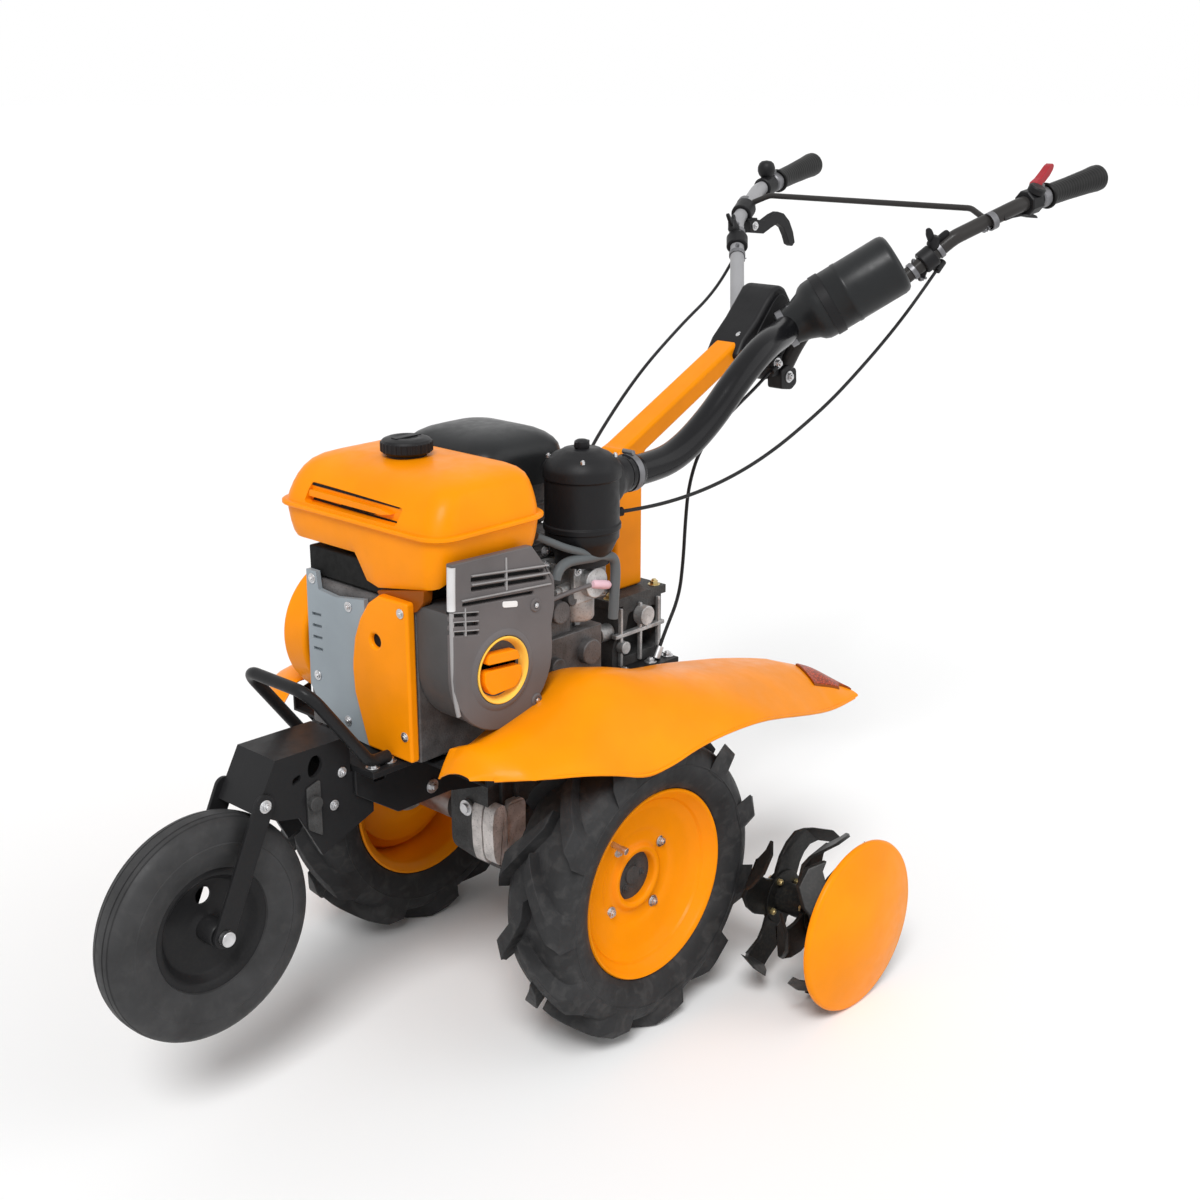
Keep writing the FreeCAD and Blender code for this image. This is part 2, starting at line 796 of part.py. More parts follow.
def recoil_housing():
    body = new_body("recoil_housing")
    near, face, wall = g.engine_left + g.fit, g.recoil_face, g.recoil_wall
    x, z, radius = g.recoil_x, g.recoil_z, g.recoil_radius
    step = g.tank_half + g.tank_flange + 4
    top = g.prow_bottom - 1

    def bowl(inset):
        return [
            (x + radius - inset, top - inset), (x + radius - inset, z - radius + inset,
                                                radius - inset - 1),
            (x - radius + inset, z - radius + inset, radius - inset - 1),
            (x - radius + inset, top - inset),
        ]

    pad(body, "XZ_Plane", bowl(0), near, face)
    pad(body, "XZ_Plane", [
        (x + radius, top - 10), (x + radius, top + 58, 6), (x - 58, top + 44, 6),
        (x - radius, top, 6), (x - radius, top - 10),
    ], step, face)
    pocket(body, "XZ_Plane", bowl(wall), near, face - wall)
    return node("recoil_housing", body)


def recoil_grip():
    near = g.recoil_face + g.fit
    x, z = g.recoil_x, g.recoil_z
    dish = rod("GripDish", (x, near, z), (x, near + 3, z), g.grip_ring)
    ring = cut("GripRing", rod("GripRim", (x, near + 3, z), (x, near + 8, z), g.grip_ring),
               rod("GripHollow", (x, near + 3, z), (x, near + 8, z), g.grip_ring - 8))
    bar = box("GripBar", (x - 30, x + 30), (near + 3, near + 12), (z - 9, z + 9))
    return node("recoil_grip", fuse("RecoilGrip", [dish, ring, bar]))


def belt_cover():
    body = new_body("belt_cover")
    near = g.engine_right - g.fit
    face = g.belt_cover_face
    fx, fz, fr = g.belt_front_x, g.belt_front_z, g.belt_front_radius
    rx, rz, rr = g.belt_rear_x, g.belt_rear_z, g.belt_rear_radius
    pad_circle(body, "XZ_Plane", fx, fz, fr, face, near)
    pad_circle(body, "XZ_Plane", rx, rz, rr, face, near)
    away = Vector(rx.value - fx.value, rz.value - fz.value)
    lean = math.atan2(away.y, away.x)
    open_angle = math.acos((fr.value - rr.value) / away.Length)
    corners = []
    for cx, cz, radius, sign in ((fx, fz, fr, 1), (rx, rz, rr, 1), (rx, rz, rr, -1),
                                 (fx, fz, fr, -1)):
        angle = lean + sign * open_angle
        corners.append((cx + radius * math.cos(angle), cz + radius * math.sin(angle)))
    pad(body, "XZ_Plane", corners, face, near)
    return node("belt_cover", body)


def muffler():
    body = new_body("muffler")
    low = g.engine_top + 26 + g.fit
    high = g.guard_top - g.guard_wall - g.fit
    pad(body, "XY_Plane", [(-74, -130, 16), (44, -130, 16), (44, 6, 16), (-74, 6, 16)], low, high)
    pocket(body, "XY_Plane", [(-72, -128, 14), (42, -128, 14), (42, 4, 14), (-72, 4, 14)],
           low, high - 2)
    return node("muffler", body)


def muffler_guard():
    body = new_body("muffler_guard")
    low, high, wall = g.guard_top - 66, g.guard_top, g.guard_wall

    def outline(inset):
        edge = as_size(inset)
        return [(-92 + edge, -148 + edge, 22), (62 - edge, -148 + edge, 22),
                (62 - edge, 24 - edge, 22), (-92 + edge, 24 - edge, 22)]

    pad(body, "XY_Plane", outline(0), low, high - 9)
    pad(body, "XY_Plane", outline(11), high - 9, high)
    pocket(body, "XY_Plane", outline(wall), low, high - 9 - wall)
    pocket(body, "XY_Plane", outline(wall + 11), high - 10 - wall, high - wall)
    return node("muffler_guard", body)


def carburettor():
    body = new_body("carburettor")
    near = g.head_left + g.fit
    pad(body, "XY_Plane", [
        (g.intake_x - 30, near), (g.intake_x + 34, near), (g.intake_x + 34, near + 72, 8),
        (g.intake_x - 30, near + 72, 8),
    ], g.carburettor_top - 66, g.carburettor_top)
    return node("carburettor", body)


def intake_housing():
    x, y = g.intake_x, g.intake_y
    neck = rod("IntakeNeck", (x, y, g.carburettor_top + g.fit), (x, y, g.intake_bottom),
               g.neck_width)
    drum = rod("IntakeDrum", (x, y, g.intake_bottom), (x, y, g.intake_top), g.intake_radius - 2)
    band = rod("IntakeBand", (x, y, g.intake_bottom + 12), (x, y, g.intake_bottom + 18),
               g.intake_radius)
    lid = rod("IntakeLid", (x, y, g.intake_top - 26), (x, y, g.intake_top), g.intake_radius)
    dome = doc.addObject("Part::Cone", "IntakeDome")
    bind(dome, "Radius1", g.intake_radius)
    bind(dome, "Radius2", g.intake_radius * 0.55)
    dome.Height = 15
    for letter, value in zip("xyz", (x, y, g.intake_top)):
        bind(dome, f"Placement.Base.{letter}", value)
    end = hose_points[0] - (hose_points[1] - hose_points[0]).normalize() * g.fit.value
    spigot = rod("IntakeSpigot", (x, y, end.z), (end.x, end.y, end.z), g.hose_radius)
    stop_end = throttle_route[-1]
    stop = rod("IntakeStop", (x, y, stop_end.z), (stop_end.x, stop_end.y, stop_end.z),
               g.stop_radius)
    parts = [neck, drum, band, lid, dome, spigot, stop]
    return node("intake_housing", fuse("IntakeHousing", parts))


# The intake hose runs from the housing's rear side to the canister on the left handle.
hose_points = [
    Vector(-118, 88, 690), Vector(-170, 88, 690), Vector(-225, 90, 700), Vector(-285, 94, 738),
    Vector(-345, 98, 792), Vector(-408, 96, 826), Vector(-470, 78, 830), Vector(-506, 67, 837),
]
canister_low = Vector(-512, 74, 843)
canister_high = Vector(-604, 180, 930)
knuckle_radius = 27


def filter_shape(clearance):
    # the canister, with a cone and a round knuckle where the hose comes in
    along = (canister_high - canister_low).normalize()
    knuckle = canister_low - along * 14
    radius = g.canister_radius.value + clearance
    length = (canister_high - canister_low).Length
    barrel = Part.makeCylinder(radius, length, canister_low, along)
    cone = Part.makeCone(knuckle_radius - 1 + clearance, radius, 14, knuckle, along)
    ball = Part.makeSphere(knuckle_radius + clearance, knuckle)
    return barrel.fuse([cone, ball]).removeSplitter()


def intake_hose():
    path = route(hose_points, cord_bends(hose_points))
    shape = swept(path, g.hose_radius.value).cut(filter_shape(g.fit.value))
    return node("intake_hose", solid_feature("IntakeHose", shape))


def air_filter():
    return node("air_filter", solid_feature("AirFilter", filter_shape(0)))


# ---- handle -----------------------------------------------------------------------------

column_bend = (-216, 668)
column_end = (-462, 800)


def handle_column():
    body = new_body("handle_column")
    half, depth = g.column_half, g.column_depth * 0.5
    foot = (column_bend[0] - 6, g.base_top + g.fit)
    run = Vector(column_end[0] - column_bend[0], column_end[1] - column_bend[1]).normalize()
    over = Vector(-run.y, run.x)
    lean = math.atan2(run.y, -run.x)
    miter = math.tan(math.pi / 4 - lean / 2)

    def band(offset, ends):
        return [
            (foot[0] - offset, foot[1] - ends),
            (foot[0] + offset, foot[1] - ends),
            (column_bend[0] + offset, column_bend[1] + offset * miter, 12),
            (column_end[0] + run.x * ends - offset * over.x, column_end[1] + run.y * ends
             - offset * over.y),
            (column_end[0] + run.x * ends + offset * over.x, column_end[1] + run.y * ends
             + offset * over.y),
            (column_bend[0] - offset, column_bend[1] - offset * miter, 3),
        ]

    pad(body, "XZ_Plane", band(depth, 0), -half, half)
    pocket(body, "XZ_Plane", band(depth - g.column_wall, 1), -half + g.column_wall,
           half - g.column_wall)
    return node("handle_column", body)


def column_base():
    # the cast foot on the deck that the column is bolted to
    body = new_body("column_base")
    low, top, half = g.deck_height + g.fit, g.base_top, g.base_half
    pad(body, "XZ_Plane", [
        (-252, low), (-150, low), (-150, low + 30), (-172, top - 12), (-146, top - 12),
        (-146, top), (-262, top), (-262, top - 12), (-252, top - 12),
    ], -half, half)
    pocket(body, "XZ_Plane", [
        (-240, low + 14, 6), (-168, low + 14, 6), (-184, top - 24, 6), (-240, top - 24, 6),
    ], half - 34, half)
    return node("column_base", body)


def handle_mount():
    body = new_body("handle_mount")
    half = g.mount_half
    pad(body, "XZ_Plane", [
        (-410, 752), (-392, 806), (-398, 872, 10), (-440, 890, 14), (-500, 884, 14),
        (-572, 848, 14), (-590, 800, 14), (-562, 748, 14), (-500, 738, 14),
    ], -half, half)
    seat = g.column_half + g.fit
    pocket(body, "XZ_Plane", [
        (-370, 700), (-370, 800), (-399, 800), (-404, 866), (-440, 883), (-499, 877),
        (-566, 844), (-583, 800), (-556, 700),
    ], -seat, seat)
    return node("handle_mount", body)


handle_bends = [60, 80]


def handle_points(side):
    # a tube from the mount's side plate, out and up to the grip
    foot = g.mount_half.value + g.fit.value + g.handle_radius.value * 0.87
    return [
        Vector(-522, foot * side, 754), Vector(-717, 200 * side, 956),
        Vector(-822, 241 * side, 997), Vector(-1012, 268 * side, 1030),
    ]


def handles():
    for side, name in ((1, "left"), (-1, "right")):
        points = handle_points(side)
        node(f"{name}_handle_tube", tube(f"{name}Tube", points, g.handle_radius, handle_bends,
                                         g.handle_wall))
        start = Vector(-886, 250 * side, 1008)
        end = Vector(-1018, 268.8 * side, 1031)
        along = (end - start).normalize()
        grip = Part.makeCylinder(g.grip_radius.value, (end - start).Length, start, along)
        bore = Part.makeCylinder(g.handle_radius.value + 0.2, (end - start).Length - 5, start,
                                 along)
        node(f"{name}_grip", solid_feature(f"{name}Grip", grip.cut(bore)))


def crossbar():
    points = [
        Vector(-772, -221.5, 977.5), Vector(-783, -186, 993), Vector(-783, 186, 993),
        Vector(-772, 221.5, 977.5),
    ]
    bar = swept(route(points, [25, 25]), g.crossbar_radius.value)
    for side in (1, -1):
        outside = g.handle_radius.value + g.fit.value
        bar = bar.cut(swept(route(handle_points(side), handle_bends), outside))
    return node("crossbar", solid_feature("Crossbar", bar))


# ---- controls and cables ------------------------------------------------------------------

# Routes of the three cables, from the handle end down to the stop at the other end.
clutch_route = [
    Vector(-699, -185, 909), Vector(-662, -177, 879), Vector(-601, -163, 847),
    Vector(-535, -148, 825), Vector(-471, -134, 800), Vector(-407, -120, 773),
    Vector(-346, -106, 742), Vector(-286, -92, 706), Vector(-246, -83, 678),
    Vector(-210, -75, 643), Vector(-182, -69, 602), Vector(-164, -65, 555),
    Vector(-155, -63, 505), Vector(-151, -62, 455), Vector(-150, -62, 424),
]
throttle_route = [
    Vector(-699, 185, 909), Vector(-669, 182, 882), Vector(-624, 178, 845),
    Vector(-577, 173, 810), Vector(-528, 168, 777), Vector(-478, 163, 746),
    Vector(-426, 157, 719), Vector(-371, 151, 694), Vector(-315, 144, 674),
    Vector(-258, 135, 659), Vector(-199, 126, 650), Vector(-140, 114, 646),
    Vector(-103, 106, 647),
]
drive_route = [
    Vector(-487, 48, 772), Vector(-456, 51, 757), Vector(-407, 56, 738),
    Vector(-359, 58, 715), Vector(-314, 60, 687), Vector(-290, 61, 640),
    Vector(-284, 61, 587), Vector(-281, 61, 534), Vector(-273, 61, 482),
    Vector(-245, 60, 438), Vector(-234, 60, 418),
]


def cable(label, points):
    bends = cord_bends(points)
    print(f"{label}: arc radii {', '.join(f'{radius:.0f}' for radius in bends)}")
    shape = swept(route(points, bends), g.cable_radius.value)
    return node(label, solid_feature(label.title(), shape))


def barrel(end, beyond, length, radius):
    # a round stop that a cable's end meets face to face
    return Part.makeCylinder(radius, length, end, (end - beyond).normalize())


def cable_stops():
    posts = []
    for points in (clutch_route, drive_route):
        end = points[-1]
        height = end.z - g.deck_height.value - g.fit.value
        posts.append(barrel(end, points[-2], height, g.stop_radius.value))
    return node("cable_stops", solid_feature("CableStops", Part.makeCompound(posts)))


def tube_space(side):
    # what a piece that is clamped on a handle tube keeps free
    return swept(route(handle_points(side), handle_bends), g.handle_radius.value + g.fit.value)


def tube_place(side, run, distance):
    # a point on one straight run of the handle tube, and the run's direction
    points = handle_points(side)
    along = (points[run + 1] - points[run]).normalize()
    return points[run] + along * distance, along


def collar(side, run, start, length, radius):
    place, along = tube_place(side, run, start)
    return Part.makeCylinder(radius, length, place, along)


def wing_clamps():
    clamps = []
    for side, points in ((1, throttle_route), (-1, clutch_route)):
        start = g.clamp_place.value - g.clamp_length.value / 2
        ring = collar(side, 0, start, g.clamp_length.value, g.clamp_radius.value)
        place, along = tube_place(side, 0, g.clamp_place.value)
        stem = Part.makeCylinder(6, g.clamp_radius.value + 8, place, Vector(0, 0, 1))
        knob = Part.makeCylinder(11, 8, place + Vector(0, 0, g.clamp_radius.value + 5),
                                 Vector(0, 0, 1))
        stop = barrel(points[0], points[1], 18, g.stop_radius.value)
        shape = ring.fuse([stem, knob, stop]).cut(tube_space(side)).removeSplitter()
        clamps.append(max(shape.Solids, key=lambda solid: solid.Volume))
    return node("wing_clamps", solid_feature("WingClamps", Part.makeCompound(clamps)))


def grip_collars():
    # the throttle's block on the left tube and the round knob on the right one
    block = collar(1, 2, 15, 27, 19)
    knob_ring = collar(-1, 2, 15, 27, 16)
    place, along = tube_place(-1, 2, 28)
    knob = Part.makeCylinder(13, 30, place, Vector(0, 0, 1))
    parts = [block.cut(tube_space(1)), knob_ring.fuse(knob).cut(tube_space(-1))]
    solids = [max(part.removeSplitter().Solids, key=lambda solid: solid.Volume) for part in parts]
    return node("grip_collars", solid_feature("GripCollars", Part.makeCompound(solids)))


def red_lever():
    # the left lever, standing on its block beside the grip
    body = new_body("red_lever")
    place, along = tube_place(1, 2, 28)
    low = place.z + 21.3 + g.fit
    middle = as_size(place.y)
    pad(body, "XZ_Plane", [
        (place.x + 9, low), (place.x - 10, low), (place.x - 40, low + 14),
        (place.x - 76, low + 34, 5), (place.x - 70, low + 46, 5), (place.x - 24, low + 22, 6),
    ], middle - g.lever_plate * 0.5, middle + g.lever_plate * 0.5)
    return node("red_lever", body)


def clutch_lever():
    # the hooked lever on a collar of the right tube
    ring = collar(-1, 1, 22, 30, g.clamp_radius.value)
    place, along = tube_place(-1, 1, 37)
    inside = place.y + g.handle_radius.value + g.fit.value + 0.5
    outline = [
        (place.x + 14, place.z - 14), (place.x - 22, place.z - 18), (place.x - 62, place.z - 6),
        (place.x - 92, place.z - 22), (place.x - 108, place.z - 52), (place.x - 96, place.z - 58),
        (place.x - 80, place.z - 38), (place.x - 60, place.z - 24), (place.x - 24, place.z - 36),
        (place.x + 14, place.z - 30),
    ]
    corners = [Vector(x, inside, z) for x, z in outline]
    face = Part.Face(Part.makePolygon(corners + corners[:1]))
    plate = face.extrude(Vector(0, g.lever_plate.value, 0))
    lug = Part.makeBox(24, g.clamp_radius.value + 4, 20,
                       Vector(place.x - 12, place.y, place.z - 30))
    shape = ring.fuse([lug, plate]).cut(tube_space(-1)).removeSplitter()
    return node("clutch_lever", solid_feature("ClutchLever", shape))


def governor_arm():
    # the bent flat bar on the carburettor's outer side
    body = new_body("governor_arm")
    near = g.head_left + g.fit * 2 + 72
    top = g.carburettor_top
    pad(body, "XZ_Plane", [
        (g.intake_x + 20, top - 30), (g.intake_x + 20, top - 16), (g.intake_x - 44, top - 2, 14),
        (g.intake_x - 66, top - 22, 14), (g.intake_x - 58, top - 96), (g.intake_x - 46, top - 96),
        (g.intake_x - 52, top - 26), (g.intake_x - 40, top - 18),
    ], near, near + 6)
    return node("governor_arm", body)


def mount_block():
    # the bolted block on the handle mount's left plate, where the drive cable starts
    start = drive_route[0]
    near = g.mount_half.value + g.fit.value
    block = Part.makeBox(22, 20, 28, Vector(start.x - 24, near, start.z - 8))
    stop = barrel(start, drive_route[1], 16, g.stop_radius.value)
    return node("mount_block", solid_feature("MountBlock", block.fuse(stop).removeSplitter()))


# ---- tine rotor ---------------------------------------------------------------------------

def tine_shaft():
    body = new_body("tine_shaft")
    end = g.disc_y - g.fit
    revolve(body, [(-end, 0), (end, 0), (end, g.shaft_radius), (-end, g.shaft_radius)])
    centred(body, g.rotor_x, g.rotor_height)
    return node("tine_shaft", body)


def tine_set(label, side, low, high, rows):
    # a sleeve with rows of four hooked tines; each row is (y, first angle, side of the hook)
    body = new_body(label)
    bore, sleeve, reach = g.shaft_radius + 0.1, g.sleeve_radius, g.tine_reach
    revolve(body, [(as_size(low) * side, bore), (as_size(high) * side, bore),
                   (as_size(high) * side, sleeve), (as_size(low) * side, sleeve)])
    for y, first, hook in rows:
        middle = as_size(y) * side
        near, far = middle - g.tine_plate * 0.5, middle + g.tine_plate * 0.5

        def at(radius, degrees, first=first):
            angle = math.radians(first + degrees)
            return (radius * math.cos(angle), radius * math.sin(angle))

        blade = pad(body, "XZ_Plane", [
            at(sleeve - 1, -48), at(reach * 0.45, -22), at(reach * 0.75, -4),
            at(reach * 0.99, 16), at(reach * 0.985, 32), at(reach * 0.7, 22),
            at(reach * 0.42, 20), at(sleeve - 1, 40),
        ], near, far)
        bend = g.tine_bend
        tip_low, tip_high = (near, far + bend) if hook * side > 0 else (near - bend, far)
        tip = pad(body, "XZ_Plane", [
            at(reach * 0.92, 11), at(reach * 0.99, 16), at(reach * 0.985, 32),
            at(reach * 0.915, 30),
        ], tip_low, tip_high)
        polar(body, [blade, tip], 4)
    centred(body, g.rotor_x, g.rotor_height)
    return node(label, body)


def guard_disc(side, label):
    body = new_body(label)
    radius = g.disc_radius
    near = g.disc_y
    revolve(body, [(as_size(y) * side, r) for y, r in [
        (near, 0), (near + 16, 0), (near + 16, 26), (near + 5, radius - 14),
        (near - 4, radius - 1), (near - 6.6, radius), (near - 7.6, radius - 2.4),
        (near + 2.2, radius - 15), (near + 12, 28), (near, 28),
    ]])
    centred(body, g.rotor_x, g.rotor_height)
    return node(label, body)


# ---- fenders --------------------------------------------------------------------------------

# Stations along the fender: x, inner edge height, outer edge y and height, crown above the chord
fender_stations = [
    (252, 408, 190, 404, 4),
    (205, 424, 246, 411, 10),
    (118, 458, 276, 402, 18),
    (40, 482, 284, 378, 32),
    (-60, 458, 286, 376, 30),
    (-172, 436, 285, 383, 14),
    (-282, 411, 272, 358, 12),
    (-375, 376, 258, 333, 10),
    (-478, 332, 238, 328, 3),
]


def fender_loft(body, side, above, below):
    # the fender's shell, or with other offsets the space that its brackets keep out of
    sections = []
    inner = g.fender_inner
    for x, inner_z, outer_y, outer_z, crown in fender_stations:
        sketch = sketch_on(body, "YZ_Plane", x)
        outer = g.fender_outer + (outer_y - 286)
        start, end = Vector(inner.value * side, inner_z), Vector(outer.value * side, outer_z)
        middle = (start + end) * 0.5 + Vector(0, crown)
        lift, drop = Vector(0, as_size(above).value), Vector(0, as_size(below).value)
        sketch.addGeometry(Part.Arc(start + lift, middle + lift, end + lift))
        sketch.addGeometry(Part.Arc(start - drop, middle - drop, end - drop))
        for place, y_size, z_size in ((start, inner * side, inner_z), (end, outer * side, outer_z)):
            index = sketch.addGeometry(Part.LineSegment(place + lift, place - drop))
            fix_point(sketch, index, 1, y_size, as_size(above) + z_size)
            fix_point(sketch, index, 2, y_size, as_size(z_size) - below)
        sections.append(sketch)
    loft(body, "PartDesign::AdditiveLoft", sections)
    return body


def fender(side, label):
    return node(label, fender_loft(new_body(label), side, 0, g.fender_sheet))


def fender_brackets(side, name):
    # the two angle brackets that carry one fender
    pieces = []
    near = g.gearbox_half + g.side_plate + g.fit * 2
    far = g.fender_inner + 22
    top = g.deck_height - g.deck_plate - g.fit
    above = fender_loft(new_body(f"{name}FenderSpace"), side, 60, g.fender_sheet + g.fit)
    for x, place in ((-172, "Rear"), (205, "Front")):
        body = new_body(f"{name}{place}Bracket")
        outline = [
            (near, top - 4), (far, top - 4), (far, top + 60), (far - 4, top + 60),
            (far - 4, top), (near, top),
        ]
        pad(body, "YZ_Plane", [(as_size(y) * side, z) for y, z in outline], x - 14, x + 14)
        pieces.append(cut(f"{name}{place}Trimmed", body, above))
    return node(f"{name}_fender_brackets", group(f"{name}Brackets", pieces))


# ---- build ------------------------------------------------------------------------------------

drive_shaft()
for side_sign, side_name in ((1, "left"), (-1, "right")):
    drive_rim(side_sign, f"{side_name}_drive_rim")
    drive_tyre(side_sign, f"{side_name}_drive_tyre")
front_rim()
front_tyre()
front_fork()
front_bolt()
front_bracket()
bumper()
frame()
gearbox()
engine()
tank_seat()
fuel_tank()
fuel_cap()
front_shroud()
recoil_housing()
recoil_grip()
belt_cover()
muffler()
muffler_guard()
carburettor()
intake_housing()
intake_hose()
air_filter()
column_base()
handle_column()
handle_mount()
handles()
crossbar()
cable("clutch_cable", clutch_route)
cable("throttle_cable", throttle_route)
cable("drive_cable", drive_route)
cable_stops()
wing_clamps()
grip_collars()
red_lever()
clutch_lever()
governor_arm()
mount_block()
tine_shaft()
for side_sign, side_name in ((1, "left"), (-1, "right")):
    tine_set(f"{side_name}_inner_tines", side_sign, 46, 150,
             [(64, 0, 1), (126, 45, -1)])
    tine_set(f"{side_name}_outer_tines", side_sign, g.outer_tines_start - 8, g.disc_y - 2,
             [(g.outer_tines_start, 20, 1), (g.outer_tines_start + 62, 65, 1),
              (g.disc_y - 20, 110, -1)])
    guard_disc(side_sign, f"{side_name}_guard_disc")
    fender(side_sign, f"{side_name}_fender")
    fender_brackets(side_sign, side_name)

doc.recompute()

faults = []
for item in doc.Objects:
    if "Invalid" in item.State or "Error" in item.State:
        faults.append(f"{item.Label}: {item.State}")
for item in nodes:
    if item.Shape.isNull() or not item.Shape.isValid() or not item.Shape.Solids:
        faults.append(f"{item.Label}: bad shape")
if faults:
    raise SystemExit("\n".join(faults))

os.makedirs("parts", exist_ok=True)
for item in nodes:
    item.Shape.exportStep(f"parts/{item.Label}.step")
    bounds = item.Shape.BoundBox
    print(f"{item.Label}: {len(item.Shape.Solids)} solids, "
          f"x {bounds.XMin:.1f} {bounds.XMax:.1f}, y {bounds.YMin:.1f} {bounds.YMax:.1f}, "
          f"z {bounds.ZMin:.1f} {bounds.ZMax:.1f}, {item.Shape.Volume / 1000:.0f} cm3")
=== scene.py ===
import bmesh
import bpy
import json
import math
from mathutils import Matrix, Vector


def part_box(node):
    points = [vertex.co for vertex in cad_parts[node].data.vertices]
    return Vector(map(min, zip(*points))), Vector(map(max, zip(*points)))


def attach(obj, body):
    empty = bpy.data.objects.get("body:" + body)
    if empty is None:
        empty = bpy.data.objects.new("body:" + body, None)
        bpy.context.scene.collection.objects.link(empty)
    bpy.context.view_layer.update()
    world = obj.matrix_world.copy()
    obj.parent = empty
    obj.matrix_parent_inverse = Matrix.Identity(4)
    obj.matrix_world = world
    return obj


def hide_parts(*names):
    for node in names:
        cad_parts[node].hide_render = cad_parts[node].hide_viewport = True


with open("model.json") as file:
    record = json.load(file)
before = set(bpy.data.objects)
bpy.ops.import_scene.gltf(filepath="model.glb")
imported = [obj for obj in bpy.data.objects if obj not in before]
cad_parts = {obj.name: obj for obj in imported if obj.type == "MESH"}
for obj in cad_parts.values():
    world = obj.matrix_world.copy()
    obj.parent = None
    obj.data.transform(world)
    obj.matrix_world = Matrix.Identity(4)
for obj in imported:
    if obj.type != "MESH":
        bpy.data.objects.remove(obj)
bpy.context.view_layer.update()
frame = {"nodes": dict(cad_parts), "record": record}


# positions are written in millimetres from the drive axle's middle, and turned to the model's metres
def nodeMiddle(node):
    low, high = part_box(node)
    return [(low[i] + high[i]) / 2 for i in range(3)]


axleX = nodeMiddle("drive_shaft")[0]
wheelAxle = Vector(nodeMiddle("drive_shaft"))
frontAxle = Vector(nodeMiddle("front_tyre"))
rotorAxle = Vector(nodeMiddle("tine_shaft"))


def at(x, y, z):
    return Vector((axleX + x / 1000, y / 1000, z / 1000))


# camera
cameraSettings = {"place": (1449.9, 1499.3, 1195.1), "turn": 47.302, "tip": 17.762, "lens": 50.117}


def makeCamera(settings):
    turn, tip = math.radians(settings["turn"]), math.radians(settings["tip"])
    back = Vector((math.sin(turn) * math.cos(tip), math.cos(turn) * math.cos(tip), math.sin(tip)))
    right = Vector((-math.cos(turn), math.sin(turn), 0))
    up = back.cross(right)
    camera = bpy.data.objects.new("camera", bpy.data.cameras.new("camera"))
    camera.matrix_world = Matrix((
        (right.x, up.x, back.x, at(*settings["place"]).x),
        (right.y, up.y, back.y, at(*settings["place"]).y),
        (right.z, up.z, back.z, at(*settings["place"]).z),
        (0, 0, 0, 1)))
    camera.data.lens = settings["lens"]
    camera.data.sensor_width = 36
    camera.data.clip_end = 50
    bpy.context.collection.objects.link(camera)
    bpy.context.scene.camera = camera


makeCamera(cameraSettings)
print("camera is set")


# materials
def nodeTree(name):
    material = bpy.data.materials.new(name)
    material.use_nodes = True
    tree = material.node_tree
    shader = tree.nodes["Principled BSDF"]
    place = tree.nodes.new("ShaderNodeTexCoord").outputs["Object"]
    return material, tree, shader, place


def noise(tree, vector, scale, detail=4, stretch=None, distortion=0):
    if stretch is not None:
        mapping = tree.nodes.new("ShaderNodeMapping")
        mapping.inputs["Scale"].default_value = stretch
        tree.links.new(vector, mapping.inputs["Vector"])
        vector = mapping.outputs["Vector"]
    node = tree.nodes.new("ShaderNodeTexNoise")
    for name, number in (("Scale", scale), ("Detail", detail), ("Distortion", distortion)):
        node.inputs[name].default_value = number
    tree.links.new(vector, node.inputs["Vector"])
    return node.outputs["Fac"]


def cells(tree, vector, scale):
    node = tree.nodes.new("ShaderNodeTexVoronoi")
    node.inputs["Scale"].default_value = scale
    tree.links.new(vector, node.inputs["Vector"])
    return node.outputs["Distance"]


def ramp(tree, value, low, high, fromColor, toColor):
    node = tree.nodes.new("ShaderNodeValToRGB")
    for stop, position, color in zip(node.color_ramp.elements, (low, high), (fromColor, toColor)):
        stop.position = position
        stop.color = (*color, 1)
    tree.links.new(value, node.inputs["Fac"])
    return node.outputs["Color"]


def span(tree, value, fromLow, fromHigh, toLow, toHigh):
    node = tree.nodes.new("ShaderNodeMapRange")
    for name, number in (("From Min", fromLow), ("From Max", fromHigh),
                         ("To Min", toLow), ("To Max", toHigh)):
        node.inputs[name].default_value = number
    tree.links.new(value, node.inputs["Value"])
    return node.outputs["Result"]


def blend(tree, factor, color, cover):
    # a plain cover colour over a colour socket
    node = tree.nodes.new("ShaderNodeMix")
    node.data_type = "RGBA"
    tree.links.new(factor, node.inputs[0])
    tree.links.new(color, node.inputs[6])
    node.inputs[7].default_value = (*cover, 1)
    return node.outputs[2]


def mathNode(tree, operation, first, second):
    node = tree.nodes.new("ShaderNodeMath")
    node.operation = operation
    tree.links.new(first, node.inputs[0])
    tree.links.new(second, node.inputs[1])
    return node.outputs[0]


def bump(tree, shader, heights):
    # each height is (socket, depth in metres)
    normal = None
    for value, depth in heights:
        node = tree.nodes.new("ShaderNodeBump")
        node.inputs["Strength"].default_value = 1
        node.inputs["Distance"].default_value = depth
        tree.links.new(value, node.inputs["Height"])
        if normal is not None:
            tree.links.new(normal, node.inputs["Normal"])
        normal = node.outputs["Normal"]
    tree.links.new(normal, shader.inputs["Normal"])


def tones(tree, value, low, high, color, darker, lighter):
    # a colour that varies between its darker and its lighter tone
    dark = tuple(c * darker for c in color)
    light = tuple(min(1, c * lighter) for c in color)
    return ramp(tree, value, low, high, dark, light)


def surface(tree, shader, color, value, low, high, rough, roughest, **constants):
    # the colour socket, a roughness that varies with a value, and plain numbers for other sockets
    tree.links.new(color, shader.inputs["Base Color"])
    tree.links.new(span(tree, value, low, high, rough, roughest), shader.inputs["Roughness"])
    for name, number in constants.items():
        shader.inputs[socketNames[name]].default_value = number


